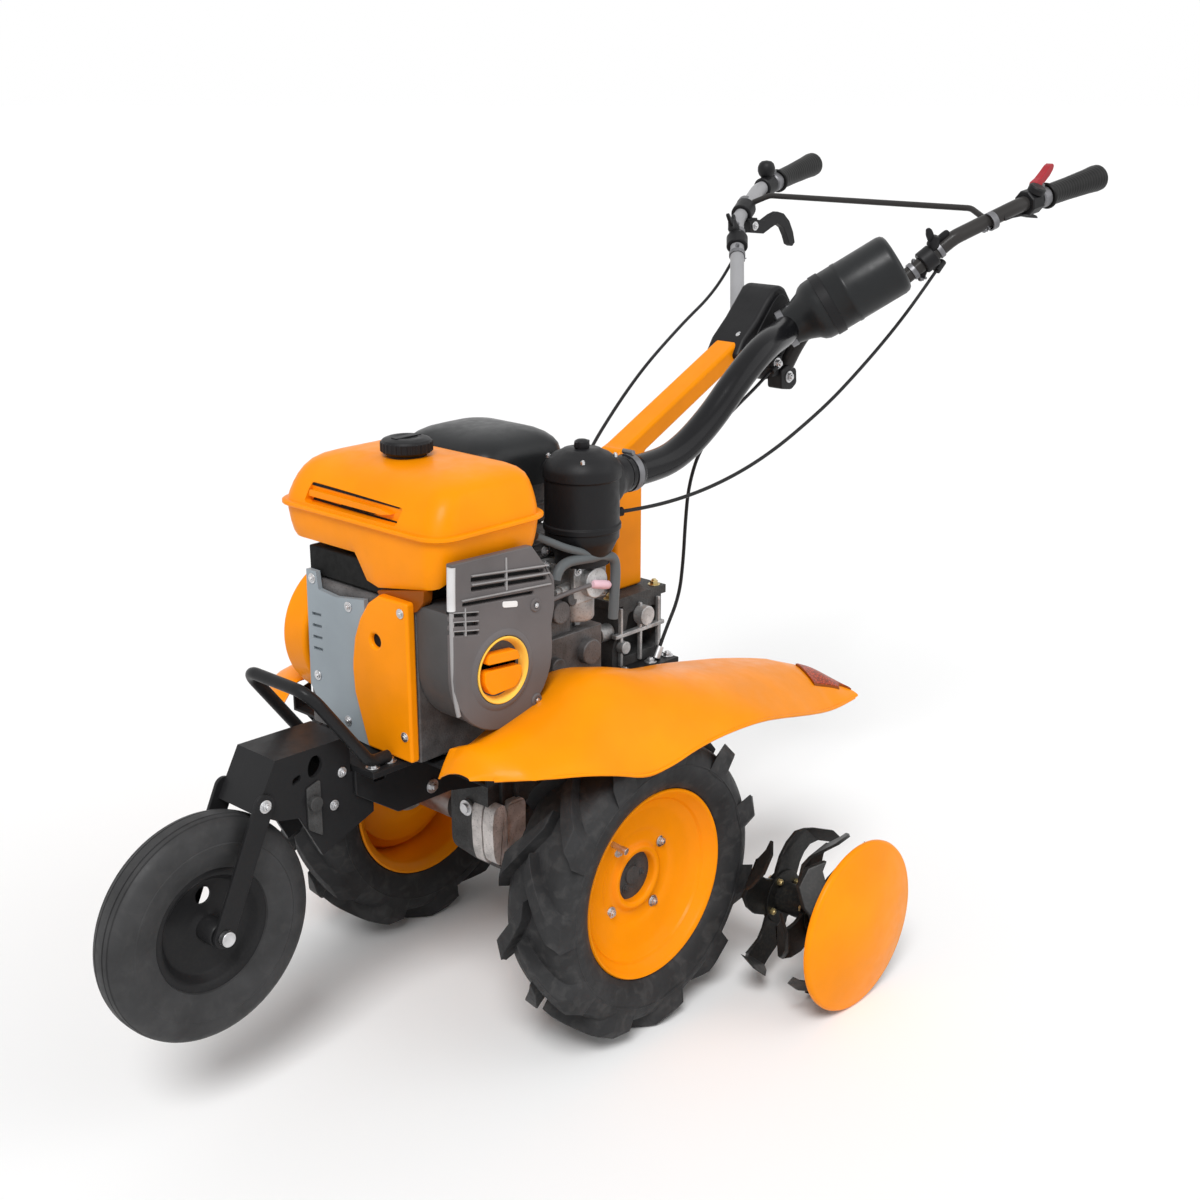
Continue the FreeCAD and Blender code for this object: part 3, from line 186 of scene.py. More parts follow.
socketNames = {"specular": "Specular IOR Level", "coat": "Coat Weight", "coatRough": "Coat Roughness",
               "metallic": "Metallic"}


def makePaint(tree, shader, place, color, rough=0.34, coat=0.03, peel=0.00006, dust=0.03):
    # sprayed paint: faint clouding, orange peel, a little dust low down
    cloud = tones(tree, noise(tree, place, 9, 5), 0.35, 0.7, color, 0.9, 1.06)
    height = tree.nodes.new("ShaderNodeSeparateXYZ")
    tree.links.new(place, height.inputs["Vector"])
    low = span(tree, height.outputs["Z"], 0, 0.5, dust, 0)
    specks = span(tree, noise(tree, place, 260, 3), 0.45, 0.75, 0, 1)
    dusty = blend(tree, mathNode(tree, "MULTIPLY", low, specks), cloud, (0.32, 0.27, 0.2))
    surface(tree, shader, dusty, noise(tree, place, 60, 4), 0.3, 0.7, rough * 0.85, rough * 1.2,
            specular=0.1, coat=coat, coatRough=0.12)
    bump(tree, shader, [(noise(tree, place, 420, 2), peel)])


def makePlastic(tree, shader, place, color, rough=0.42, grain=0.00005, scale=1400):
    # moulded plastic: fine grain and soft tone changes
    base = tones(tree, noise(tree, place, 14, 6), 0.3, 0.72, color, 0.86, 1.14)
    surface(tree, shader, base, noise(tree, place, 90, 4), 0.3, 0.7, rough * 0.86, rough * 1.16,
            specular=0.2)
    bump(tree, shader, [(noise(tree, place, scale, 3), grain), (noise(tree, place, 30, 2), 0.0001)])


def makeRubber(tree, shader, place, color, rough=0.62, dust=0.25):
    # tyre rubber: pores, mould bloom and paler worn patches
    base = tones(tree, noise(tree, place, 22, 7), 0.3, 0.72, color, 0.75, 1.35)
    bloom = span(tree, noise(tree, place, 55, 6, distortion=0.6), 0.5, 0.8, 0, dust)
    surface(tree, shader, blend(tree, bloom, base, (0.13, 0.125, 0.12)), noise(tree, place, 120, 4),
            0.3, 0.7, rough * 0.88, rough * 1.12, specular=0.25)
    bump(tree, shader, [(noise(tree, place, 900, 4), 0.00012), (noise(tree, place, 140, 3), 0.0001)])


def makeCasting(tree, shader, place, color, rough=0.55, metallic=0.75):
    # sand-cast alloy: pitted skin with brighter high spots and dark hollows
    skin = noise(tree, place, 520, 6)
    pits = cells(tree, place, 286)
    base = tones(tree, noise(tree, place, 40, 8, distortion=0.4), 0.32, 0.68, color, 0.62, 1.25)
    hollows = blend(tree, span(tree, pits, 0, 0.35, 0.75, 0), base, tuple(c * 0.35 for c in color))
    surface(tree, shader, hollows, skin, 0.3, 0.7, rough * 0.8, rough * 1.25, metallic=metallic)
    bump(tree, shader, [(skin, 0.00035), (pits, 0.00021)])


def makeSteel(tree, shader, place, color=(0.62, 0.62, 0.63), rough=0.28):
    # turned or zinc-plated steel: fine drawn lines and patches of dull film
    lines = noise(tree, place, 60, 3, stretch=(40, 1, 40))
    film = noise(tree, place, 90, 5)
    surface(tree, shader, tones(tree, film, 0.35, 0.7, color, 0.8, 1.1), film, 0.3, 0.75, rough,
            rough + 0.2, metallic=1)
    bump(tree, shader, [(lines, 0.00003)])


def makeLens(tree, shader, place, color):
    # a red reflector with small prism cells
    facets = cells(tree, place, 320)
    dark = tuple(c * 0.35 for c in color)
    light = tuple(min(1, c * 1.5) for c in color)
    tree.links.new(ramp(tree, facets, 0.1, 0.6, light, dark), shader.inputs["Base Color"])
    shader.inputs["Roughness"].default_value = 0.3
    shader.inputs["Specular IOR Level"].default_value = 0.1
    bump(tree, shader, [(facets, 0.0002)])


def makeRibbed(tree, shader, place, color, spacing, depth):
    # fine raised rings along the length, as on a moulded grip
    wave = tree.nodes.new("ShaderNodeTexWave")
    wave.inputs["Scale"].default_value = 0.314 / spacing
    tree.links.new(place, wave.inputs["Vector"])
    tree.links.new(tones(tree, noise(tree, place, 45, 5), 0.3, 0.7, color, 0.7, 1.3),
                   shader.inputs["Base Color"])
    shader.inputs["Roughness"].default_value = 0.5
    shader.inputs["Specular IOR Level"].default_value = 0.2
    bump(tree, shader, [(wave.outputs["Fac"], depth), (noise(tree, place, 1200, 3), 0.00006)])


finishes = {}
for name, make, color, settings in (
    ("orangePaint", makePaint, (0.9, 0.277, 0.001), {}),
    ("orangePlastic", makePaint, (0.92, 0.277, 0.001), {"rough": 0.38, "coat": 0.02}),
    ("rimPaint", makePaint, (0.9, 0.277, 0.001), {"rough": 0.36, "coat": 0.02}),
    ("blackPaint", makePaint, (0.016, 0.016, 0.017), {"rough": 0.38, "coat": 0.04, "dust": 0.02}),
    ("satinBlack", makePlastic, (0.009, 0.009, 0.01), {"rough": 0.46}),
    # deep orange: the reflector bezel's colour, and painted shade on the block under the tank's prow
    ("orangeDeepAndShade", makePaint, (0.26, 0.065, 0.003), {"rough": 0.42, "coat": 0.05}),
    ("orangePale", makePaint, (0.95, 0.55, 0.08), {"rough": 0.36, "coat": 0.1}),
    ("fanPlastic", makePlastic, (0.12, 0.108, 0.108), {"rough": 0.4}),
    ("fanDark", makePlastic, (0.07, 0.068, 0.068), {"rough": 0.45}),
    # pale grey painted highlight on the starter housing's ribs and front edge
    ("fanHighlightGrey", makePlastic, (0.3, 0.29, 0.29), {"rough": 0.4}),
    ("padPale", makePlastic, (0.75, 0.74, 0.73), {"rough": 0.4}),
    ("darkSteel", makeSteel, (0.2, 0.2, 0.21), {"rough": 0.35}),
    # pale painted highlight for the starter housing's front edge
    ("edgeHighlightPale", makePlastic, (0.62, 0.61, 0.61), {"rough": 0.4}),
    ("barGrey", makePaint, (0.11, 0.12, 0.125), {"rough": 0.4, "coat": 0.05, "dust": 0}),
    ("panelGrey", makePaint, (0.29, 0.33, 0.36), {"rough": 0.34, "coat": 0.15, "dust": 0}),
    ("tubeGrey", makePaint, (0.3, 0.3, 0.31), {"rough": 0.36, "coat": 0.2, "dust": 0}),
    ("tubeDark", makePaint, (0.035, 0.033, 0.032), {"rough": 0.34, "coat": 0.08, "dust": 0}),
    ("driveRubber", makeRubber, (0.021, 0.021, 0.022), {}),
    ("frontRubber", makeRubber, (0.03, 0.03, 0.031), {"rough": 0.55, "dust": 0.12}),
    ("gripRubber", makeRibbed, (0.005, 0.005, 0.005), {"spacing": 0.006, "depth": 0.0002}),
    ("hoseRubber", makePlastic, (0.006, 0.006, 0.007), {"rough": 0.2, "grain": 0.00002}),
    ("canister", makePlastic, (0.014, 0.015, 0.016), {"rough": 0.34, "grain": 0.00003}),
    ("castAlloy", makeCasting, (0.45, 0.45, 0.45), {}),
    ("castPale", makeCasting, (0.66, 0.62, 0.6), {"metallic": 0.15, "rough": 0.5}),
    ("darkCasting", makeCasting, (0.05, 0.05, 0.05), {"metallic": 0.3, "rough": 0.6}),
    ("blockCasting", makeCasting, (0.1, 0.095, 0.095), {"metallic": 0.45, "rough": 0.55}),
    ("zinc", makeSteel, (0.62, 0.62, 0.63), {}),
    ("shaftSteel", makeSteel, (0.5, 0.49, 0.48), {"rough": 0.36}),
    ("sheath", makePlastic, (0.011, 0.011, 0.012), {"rough": 0.38, "scale": 2200}),
    ("redPlastic", makePlastic, (0.36, 0.018, 0.028), {"rough": 0.34}),
    ("pinkKnob", makePlastic, (0.7, 0.46, 0.52), {"rough": 0.4}),
    ("redLens", makeLens, (0.5, 0.05, 0.002), {}),
    # near-black painted shade, put into slots, recesses, holes and gaps
    ("paintedShadeBlack", makePlastic, (0.004, 0.004, 0.004), {"rough": 0.7}),
    ("bladeSteel", makePaint, (0.012, 0.012, 0.012), {"rough": 0.42, "coat": 0.12, "dust": 0.06}),
    ("yellowZinc", makeSteel, (0.62, 0.5, 0.25), {"rough": 0.3}),
):
    finishes[name], tree, shader, place = nodeTree(name)
    make(tree, shader, place, color, **settings)

# each slot's finishes; the first is for the frame's own parts
slotFinishes = {
    "orange_paint": ("orangePaint", "rimPaint"),
    "black_paint": ("blackPaint", "bladeSteel"),
    "cast_case": ("castAlloy", "castPale", "darkCasting"),
    "engine_alloy": ("blockCasting", "panelGrey"),
    "grey_plastic": ("fanPlastic", "fanDark", "fanHighlightGrey", "padPale", "edgeHighlightPale", "paintedShadeBlack"),
    "black_plastic": ("satinBlack", "canister"),
    "orange_plastic": ("orangePlastic", "orangePale", "orangeDeepAndShade"),
    "red_plastic": ("redPlastic", "pinkKnob", "redLens"),
    "bright_steel": ("zinc", "yellowZinc", "darkSteel", "shaftSteel"),
    "grey_tube": ("tubeGrey", "tubeDark", "barGrey"),
    "grip_rubber": ("gripRubber",),
    "hose_rubber": ("hoseRubber",),
    "tyre_rubber": ("driveRubber", "frontRubber"),
    "cable_sheath": ("sheath",),
}
print("materials are made")


# cables, each on the route of its control points
def makeCurve(name, points, radius, sides, steps):
    curve = bpy.data.curves.new(name, "CURVE")
    curve.dimensions = "3D"
    curve.bevel_depth = radius
    curve.bevel_resolution = sides
    curve.resolution_u = steps
    curve.use_fill_caps = True
    spline = curve.splines.new("NURBS")
    spline.points.add(len(points) - 1)
    for slot, point in zip(spline.points, points):
        slot.co = (*at(*point), 1)
    spline.order_u = 3
    spline.use_endpoint_u = True
    source = bpy.data.objects.new(name, curve)
    bpy.context.collection.objects.link(source)
    return source


def makeCord(name, settings, points):
    cord = makeCurve(name, points, settings["diameter"] / 2, 4, 10)
    cord.data.materials.append(finishes["sheath"])
    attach(cord, "machine")
    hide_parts(settings["node"])


clutchCable = {"node": "clutch_cable", "diameter": 0.005, "length": 0.8}
throttleCable = {"node": "throttle_cable", "diameter": 0.005, "length": 0.67}
driveCable = {"node": "drive_cable", "diameter": 0.005, "length": 0.48}
clutchRoute = [
    (-699, -185, 909), (-662, -177, 879), (-601, -163, 847), (-535, -148, 825),
    (-471, -134, 800), (-407, -120, 773), (-346, -106, 742), (-286, -92, 706),
    (-246, -83, 678), (-210, -75, 643), (-182, -69, 602), (-164, -65, 555),
    (-155, -63, 505), (-151, -62, 455), (-150, -62, 424),
]
throttleRoute = [
    (-699, 185, 909), (-669, 182, 882), (-624, 178, 845), (-577, 173, 810),
    (-528, 168, 777), (-478, 163, 746), (-426, 157, 719), (-371, 151, 694),
    (-315, 144, 674), (-258, 135, 659), (-199, 126, 650), (-140, 114, 646),
    (-103, 106, 647),
]
driveRoute = [
    (-487, 48, 772), (-456, 51, 757), (-407, 56, 738), (-359, 58, 715),
    (-314, 60, 687), (-290, 61, 640), (-284, 61, 587), (-281, 61, 534),
    (-273, 61, 482), (-245, 60, 438), (-234, 60, 418),
]
makeCord("clutchCable", clutchCable, clutchRoute)
makeCord("throttleCable", throttleCable, throttleRoute)
makeCord("driveCable", driveCable, driveRoute)
print("cables are laid")


# mesh helpers: a bmesh is shaped by operators, carried to its body and finished as one piece
home = Vector((axleX, 0, 0))
sides = ((1, "left"), (-1, "right"))
bodyPlaces = {"machine": home, "front_wheel": frontAxle, "tine_rotor": rotorAxle}
joinGap = 1e-6


def finishPiece(name, bm, finish, edge=0, segments=2, smoothAngle=32, node=None, body="machine",
                slot=None, place=None):
    # the bmesh is carried to its body's place and becomes one piece, which may stand for a frame node
    carry(bm, bodyPlaces[body] if place is None else place)
    bmesh.ops.remove_doubles(bm, verts=bm.verts, dist=joinGap)
    bmesh.ops.dissolve_degenerate(bm, edges=bm.edges, dist=joinGap)
    bmesh.ops.recalc_face_normals(bm, faces=bm.faces)
    mesh = bpy.data.meshes.new(name)
    bm.to_mesh(mesh)
    bm.free()
    piece = addPiece(name, mesh, finish, smoothAngle, node, body)
    if edge:
        rounding = piece.modifiers.new("edge", "BEVEL")
        rounding.width = edge
        rounding.segments = segments
        rounding.limit_method = "ANGLE"
        rounding.angle_limit = math.radians(smoothAngle)
        rounding.harden_normals = True
    return piece


def addPiece(name, mesh, finish, smoothAngle, node=None, body="machine"):
    for polygon in mesh.polygons:
        polygon.use_smooth = True
    mesh.set_sharp_from_angle(angle=math.radians(smoothAngle))
    mesh.materials.clear()
    mesh.materials.append(finishes[finish])
    piece = bpy.data.objects.new(name, mesh)
    bpy.context.collection.objects.link(piece)
    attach(piece, body)
    if node:
        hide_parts(node)
    return piece


def shaped(rows):
    # each row is a shape's function with what it needs
    bm = bmesh.new()
    for shape, *numbers in rows:
        shape(bm, *numbers)
    return bm


def build(name, finish, rows, *edge, **more):
    return finishPiece(name, shaped(rows), finish, *edge, **more)


def turned(bm, profile, steps):
    # a closed outline of (along, radius) millimetres, spun about the Y axis through the origin
    old = set(bm.verts)
    corners = [bm.verts.new((0, along / 1000, radius / 1000)) for along, radius in profile]
    edges = [bm.edges.new((corners[i - 1], corners[i])) for i in range(len(corners))]
    bmesh.ops.spin(bm, geom=corners + edges, cent=(0, 0, 0), axis=(0, 1, 0),
                   angle=2 * math.pi, steps=steps, use_merge=True)
    bmesh.ops.remove_doubles(bm, verts=[v for v in bm.verts if v not in old], dist=joinGap)


def prism(bm, outline, low, high, corner=0):
    # an outline of (x, z) millimetres, drawn out along Y from low to high
    old = set(bm.verts)
    loop = [bm.verts.new((x / 1000, low / 1000, z / 1000)) for x, z in outline]
    bm.faces.new(loop)
    if corner:
        bmesh.ops.bevel(bm, geom=loop, offset=corner / 1000, segments=4,
                        affect="VERTICES", profile=0.5, material=-1)
    face = [f for f in bm.faces if all(v not in old for v in f.verts)]
    grown = bmesh.ops.extrude_face_region(bm, geom=face)["geom"]
    top = [v for v in grown if isinstance(v, bmesh.types.BMVert)]
    bmesh.ops.translate(bm, verts=top, vec=(0, (high - low) / 1000, 0))
    return [v for v in bm.verts if v not in old]


def block(bm, x, y, z):
    # a box from three (low, high) pairs in millimetres
    made = bmesh.ops.create_cube(bm, size=1)["verts"]
    bmesh.ops.scale(bm, verts=made, vec=[(h - l) / 1000 for l, h in (x, y, z)])
    bmesh.ops.translate(bm, verts=made, vec=[(h + l) / 2000 for l, h in (x, y, z)])
    return made


def slab(bm, outline, low, high, corner=0):
    # an outline of (y, z) millimetres, drawn out along X from low to high
    part = bmesh.new()
    for v in prism(part, outline, low, high, corner):
        v.co = (v.co.y, v.co.x, v.co.z)
    absorb(bm, part)


def absorb(bm, part):
    # another bmesh is added to this one and freed
    mesh = bpy.data.meshes.new("part")
    part.to_mesh(mesh)
    part.free()
    bm.from_mesh(mesh)
    bpy.data.meshes.remove(mesh)


def lathed(bm, profile, place, direction=(0, 0, 1), steps=64, roll=0):
    # a closed outline of (along, radius) millimetres, spun about a direction at a place
    part = bmesh.new()
    turned(part, profile, steps)
    bmesh.ops.rotate(part, verts=part.verts, cent=(0, 0, 0), matrix=Matrix.Rotation(math.pi / 2, 3, "X"))
    aim(part, part.verts, place, direction, roll)
    absorb(bm, part)


def boxLoop(bm, x, y, z, radius, steps=7, cuts=0, shape=None):
    # one level loop of a rounded rectangle; shape may move its points, in millimetres
    each = steps + cuts
    made = bmesh.ops.create_circle(bm, cap_ends=False, radius=1, segments=4 * each)["verts"]

    def corner(quarter, step):
        angle = math.radians(90 * (quarter + step / (steps - 1)))
        middleX = x[1] - radius if quarter % 4 in (0, 3) else x[0] + radius
        middleY = y[1] - radius if quarter % 4 < 2 else y[0] + radius
        return Vector((middleX + radius * math.cos(angle), middleY + radius * math.sin(angle), z))

    for i, v in enumerate(made):
        quarter, step = divmod(i, each)
        if step < steps:
            spot = corner(quarter, step)
        else:
            spot = corner(quarter, steps - 1).lerp(corner(quarter + 1, 0), (step - steps + 1) / (cuts + 1))
        v.co = (Vector(shape(*spot)) if shape else spot) / 1000
    return list({e for v in made for e in v.link_edges})


def smooth(low, high, value):
    t = min(1, max(0, (value - low) / (high - low)))
    return t * t * (3 - 2 * t)


def stud(bm, radius, length, sides=6, tip=None):
    # a bolt head or pin standing on the origin along Z
    return bmesh.ops.create_cone(bm, cap_ends=True, segments=sides, radius1=radius / 1000,
                                 radius2=(tip if tip is not None else radius) / 1000,
                                 depth=length / 1000,
                                 matrix=Matrix.Translation((0, 0, length / 2000)))["verts"]


def aim(bm, verts, place, direction, roll=0):
    # verts made along Z are turned to a direction and carried to a place in millimetres
    turn = Vector(direction).to_track_quat("Z", "Y").to_matrix().to_4x4()
    move = Matrix.Translation(Vector(place) / 1000)
    bmesh.ops.transform(bm, matrix=move @ turn @ Matrix.Rotation(roll, 4, "Z"), verts=verts)


def boltAt(bm, place, direction, size, height, washer=True):
    # a hexagon head with a domed cap, and a washer under it; both sink in a little
    place, sink = Vector(place), Vector(direction).normalized() * 0.2
    aim(bm, stud(bm, size, height), place, direction)
    cap = stud(bm, size * 0.62, height * 0.45, 16, size * 0.5)
    aim(bm, cap, place + Vector(direction).normalized() * (height - 0.2), direction)
    if washer:
        aim(bm, stud(bm, size * 1.45, 1.6, 24), place - sink, direction)


def rod(bm, start, end, radius, sides=24):
    a, b = Vector(start), Vector(end)
    aim(bm, stud(bm, radius, (b - a).length, sides), a, b - a)


def carry(bm, offset):
    bmesh.ops.translate(bm, verts=bm.verts, vec=offset)


def circle(count, start, radius):
    # evenly spaced points about the origin, from a start angle in degrees
    angles = [math.radians(start + 360 / count * i) for i in range(count)]
    return [(radius * math.cos(a), radius * math.sin(a)) for a in angles]


def loftLoops(bm, loops):
    for first, second in zip(loops, loops[1:]):
        bmesh.ops.bridge_loops(bm, edges=first + second)
    for loop in (loops[0], loops[-1]):
        bmesh.ops.contextual_create(bm, geom=loop)


def boxShell(bm, x, y, rows, steps=7, cuts=0, shape=None):
    # a closed shell through rounded rectangles, each row a (height, inset, corner radius)
    loftLoops(bm, [boxLoop(bm, (x[0] + inset, x[1] - inset), (y[0] + inset, y[1] - inset), z, radius,
                           steps, cuts, shape) for z, inset, radius in rows])


def wire(name, points, radius, finish, sides=4, node=None):
    # a bent bar or pipe as a smooth curve, made a mesh
    source = makeCurve(name + "Curve", points, radius / 1000, sides, 12)
    graph = bpy.context.evaluated_depsgraph_get()
    mesh = bpy.data.meshes.new_from_object(source.evaluated_get(graph))
    bpy.data.objects.remove(source)
    mesh.name = name
    addPiece(name, mesh, finish, 50, node)


def softened(node, name, finish, edge, segments=2):
    # a frame node's own shape with rounded edges
    bm = bmesh.new()
    bm.from_mesh(frame["nodes"][node].data)
    bmesh.ops.remove_doubles(bm, verts=bm.verts, dist=joinGap)
    bmesh.ops.dissolve_limit(bm, angle_limit=math.radians(1), verts=bm.verts, edges=bm.edges)
    body = next(b for b, nodes in frame["record"]["behaviour"]["bodies"].items() if node in nodes)
    slot = next(s["material_slot"] for s in frame["record"]["subparts"] if s["node"] == node)
    return finishPiece(name, bm, finish, edge, segments, 30, node, body, slot, (0, 0, 0))


# drive wheels
tyre = {"radius": 205, "halfWidth": 52.5, "lugs": 11, "lugWidth": 39, "lugSweep": 25, "taper": 0.74,
        "lugStart": -4, "root": 4, "crownDrop": 2.6, "shoulderDrop": 13}
carcass = [(38, 126.6), (42.5, 128.8), (48, 138), (52, 150), (52.5, 161), (49.5, 171), (43, 180.5),
           (33, 185), (18, 187), (0, 187.6)]


def carcassRadius(y):
    for (outerY, outerR), (innerY, innerR) in zip(carcass[4:], carcass[5:]):
        if innerY <= y <= outerY:
            return innerR + (outerR - innerR) * (y - innerY) / (outerY - innerY)
    return carcass[4][1]


def tyreLug(bm, side, start):
    # one bar of the tread: from the middle outwards over the shoulder
    lug = bmesh.new()
    bmesh.ops.create_cube(lug, size=1)
    long = [e for e in lug.edges if abs(e.verts[0].co.x - e.verts[1].co.x) > 0.5]
    bmesh.ops.subdivide_edges(lug, edges=long, cuts=9, use_grid_fill=True)
    for v in lug.verts:
        t, w, high = v.co.x + 0.5, v.co.y * 2, v.co.z + 0.5
        y = tyre["lugStart"] + (tyre["halfWidth"] + 4.4) * min(1, t * 1.04)
        narrow = 1 - (1 - tyre["taper"]) * high
        shoulder = tyre["shoulderDrop"] * smooth(0.76, 1, t)
        crown = tyre["radius"] - tyre["crownDrop"] * (y / tyre["halfWidth"]) ** 2 - shoulder
        base = carcassRadius(abs(y)) - tyre["root"]
        radius = base + (crown - base) * high
        spread = tyre["lugWidth"] * (0.42 + 0.16 * t) * w * narrow
        angle = start + math.radians(tyre["lugSweep"]) * t ** 0.85 + spread / crown
        v.co = Vector((radius * math.sin(angle), side * y, radius * math.cos(angle))) / 1000
    absorb(bm, lug)


def wheelPiece(side, name, bm, finish, *edge, **more):
    # a drive wheel's piece, carried to its side of the axle
    place = wheelAxle + Vector((0, side * wheelY, 0))
    finishPiece(name, bm, finish, *edge, body="drive_wheels", place=place, **more)


def driveTyre(side, sideName):
    bm = bmesh.new()
    inner = [(-36, 125), (-33, 124), (33, 124), (36, 125)]
    outline = carcass + [(-y, r) for y, r in reversed(carcass[:-1])] + inner
    turned(bm, outline, 120)
    for ring, radius in ((50.4, 145.5), (52.6, 158)):  # moulded rings on both side walls
        for wall in (1, -1):
            turned(bm, [(wall * (ring - 2), radius), (wall * (ring + 0.6), radius + 1),
                        (wall * (ring + 0.6), radius + 3), (wall * (ring - 2), radius + 4)], 96)
    for i in range(tyre["lugs"]):
        step = 2 * math.pi / tyre["lugs"]
        tyreLug(bm, 1, i * step)
        tyreLug(bm, -1, (i + 0.5) * step)
    wheelPiece(side, f"{sideName}DriveTyre", bm, "driveRubber", 0.0016, 2, 38,
               node=f"{sideName}_drive_tyre")


wheelY = nodeMiddle("left_drive_tyre")[1]
rim = {"radius": 126, "half": 41, "hole": 33, "boss": 44, "bolts": 4, "boltCircle": 58}


def driveRim(side, sideName):
    bm = bmesh.new()
    r, half, hole = rim["radius"], rim["half"], rim["hole"]
    face = [(half - 2, r), (half, r - 1.5), (half - 0.5, r - 4), (half - 4, r - 6.5), (half - 7, r - 8.5),
            (half - 12, r - 14), (half - 20, r - 20), (18, r - 29), (14, r - 33), (13, 72), (8, 64),
            (6.5, 60), (5.5, 50), (6, rim["boss"] + 2), (8.5, rim["boss"]), (11, rim["boss"] - 3),
            (11.5, hole + 7), (10.5, hole + 2), (8, hole), (-3, hole), (-3, 50), (1, 60), (8, 74),
            (10, r - 34), (15, r - 32)]
    barrel = [(half - 24, r - 22), (half - 14, r - 16), (-half + 12, r - 15), (-half + 7, r - 13),
              (-half + 2, r - 6), (-half, r - 3), (-half + 1, r), (-half + 4, r - 1), (-half + 8, r - 9),
              (-half + 13, r - 11.5), (half - 13, r - 11.5), (half - 8, r - 9), (half - 4, r - 2)]
    turned(bm, [(y * side, radius) for y, radius in face + barrel], 96)
    wheelPiece(side, f"{sideName}DriveRim", bm, "rimPaint", 0, 2, 45, node=f"{sideName}_drive_rim")
    bm = bmesh.new()
    for x, z in circle(rim["bolts"], 55, rim["boltCircle"]):
        boltAt(bm, (x, side * 6.4, z), (0, side, 0), 5.5, 5)
    wheelPiece(side, f"{sideName}RimBolts", bm, "zinc", 0.0004)
    bm = bmesh.new()
    foot, neck, tip = ((0.62 * reach, side * y, 0.785 * reach) for reach, y in ((84, 12), (80, 26), (78, 34)))
    rod(bm, foot, neck, 4, 16)
    rod(bm, neck, tip, 4.8, 12)
    wheelPiece(side, f"{sideName}Valve", bm, "zinc", 0.0004)
    bm = bmesh.new()
    turned(bm, [(side * -2.9, 0), (side * 2, 0), (side * 2, 12), (side * -1, 13), (side * -1, hole + 3),
                (side * -2.9, hole + 3)], 48)
    for x, z in circle(3, 70, 20):
        boltAt(bm, (x, side * -1, z), (0, side, 0), 3.4, 3)
    wheelPiece(side, f"{sideName}HubFace", bm, "darkCasting", 0.0004, slot="bright_steel")


for side, sideName in sides:
    driveTyre(side, sideName)
    driveRim(side, sideName)
print("drive wheels are made")


# front wheel and the fork that carries it
frontTyre = {"radius": 137, "rim": 74}
frontRim = {"radius": 75, "hub": 16, "hubHalf": 34.8, "holeCircle": 39.5, "holeRadius": 10.5}


def frontWheel():
    bm = bmesh.new()
    r, seat = frontTyre["radius"], frontTyre["rim"]
    tread = [(0, r), (6, r - 0.2), (6.6, r - 1.8), (7.6, r - 1.8), (8.2, r - 0.5), (12.6, r - 1.6),
             (13.2, r - 3.2), (14.2, r - 3.4), (14.8, r - 2.6), (18.5, r - 5), (21.5, r - 8.5)]
    wall = [(23.8, r - 13), (25.2, r - 19), (25.9, r - 26), (25.6, r - 29), (26.2, r - 30.5),
            (25.6, r - 33), (24.6, r - 42), (22.2, r - 51), (19.5, seat + 5), (18.5, seat + 2),
            (15.6, seat + 0.5), (14.5, seat - 2)]
    outline = tread + wall
    turned(bm, outline + [(-y, radius) for y, radius in reversed(outline[1:])], 128)
    finishPiece("frontTyre", bm, "frontRubber", 0, 2, 24, node="front_tyre", body="front_wheel")
    bm = bmesh.new()
    rimR, hub, end = frontRim["radius"], frontRim["hub"], frontRim["hubHalf"]
    turned(bm, [(-end, 8), (end, 8), (end, hub - 1.5), (end - 1.5, hub), (7, hub), (5, hub + 3),
                (3, hub + 9), (2.4, rimR - 19), (4, rimR - 16), (13, rimR - 11), (15, rimR - 8.5),
                (16.4, rimR - 3), (16.4, rimR), (15, rimR + 1), (13.8, rimR), (13.6, rimR - 4),
                (11, rimR - 6.5), (-11, rimR - 6.5), (-13.6, rimR - 4), (-13.8, rimR),
                (-15, rimR + 1), (-16.4, rimR), (-16.4, rimR - 3), (-15, rimR - 8.5),
                (-13, rimR - 11), (-4, rimR - 14), (-0.6, rimR - 17), (-0.6, hub + 9),
                (-5, hub + 3), (-7, hub), (-end + 1.5, hub), (-end, hub - 1.5)], 96)
    disc = finishPiece("frontRim", bm, "blackPaint", 0, 2, 45, node="front_rim", body="front_wheel")
    high = frontRim["holeCircle"]
    cutThrough(disc, [(rod, (0, -20, high), (0, 20, high), frontRim["holeRadius"], 32)], frontAxle)


def cutThrough(piece, rows, place=home):
    # a boolean cut by the rows' shapes, applied at once
    cutter = shaped(rows)
    carry(cutter, place)
    mesh = bpy.data.meshes.new("cutter")
    bmesh.ops.recalc_face_normals(cutter, faces=cutter.faces)
    cutter.to_mesh(mesh)
    cutter.free()
    tool = bpy.data.objects.new("cutter", mesh)
    bpy.context.collection.objects.link(tool)
    boolean = piece.modifiers.new("cut", "BOOLEAN")
    boolean.object = tool
    boolean.solver = "EXACT"
    while piece.modifiers[0] != boolean:
        with bpy.context.temp_override(object=piece):
            bpy.ops.object.modifier_move_up(modifier="cut")
    kept = [m for m in piece.modifiers if m.name != "cut"]
    shown = [m.show_viewport for m in kept]
    for modifier in kept:
        modifier.show_viewport = False
    graph = bpy.context.evaluated_depsgraph_get()
    graph.update()
    result = bpy.data.meshes.new_from_object(piece.evaluated_get(graph))
    piece.modifiers.remove(boolean)
    for modifier, show in zip(kept, shown):
        modifier.show_viewport = show
    old = piece.data
    result.name = old.name
    piece.data = result
    bpy.data.meshes.remove(old)
    bpy.data.objects.remove(tool)


frontWheel()


# metres: the axle bolt's heads, and the bracket's nose, which keeps clear of the front tyre
boltHeads = {"from": 0.0405, "shrink": 0.24}
nose = {"from": 0.345, "to": 0.44, "back": 0.028, "down": 0.026, "clear": 0.142}


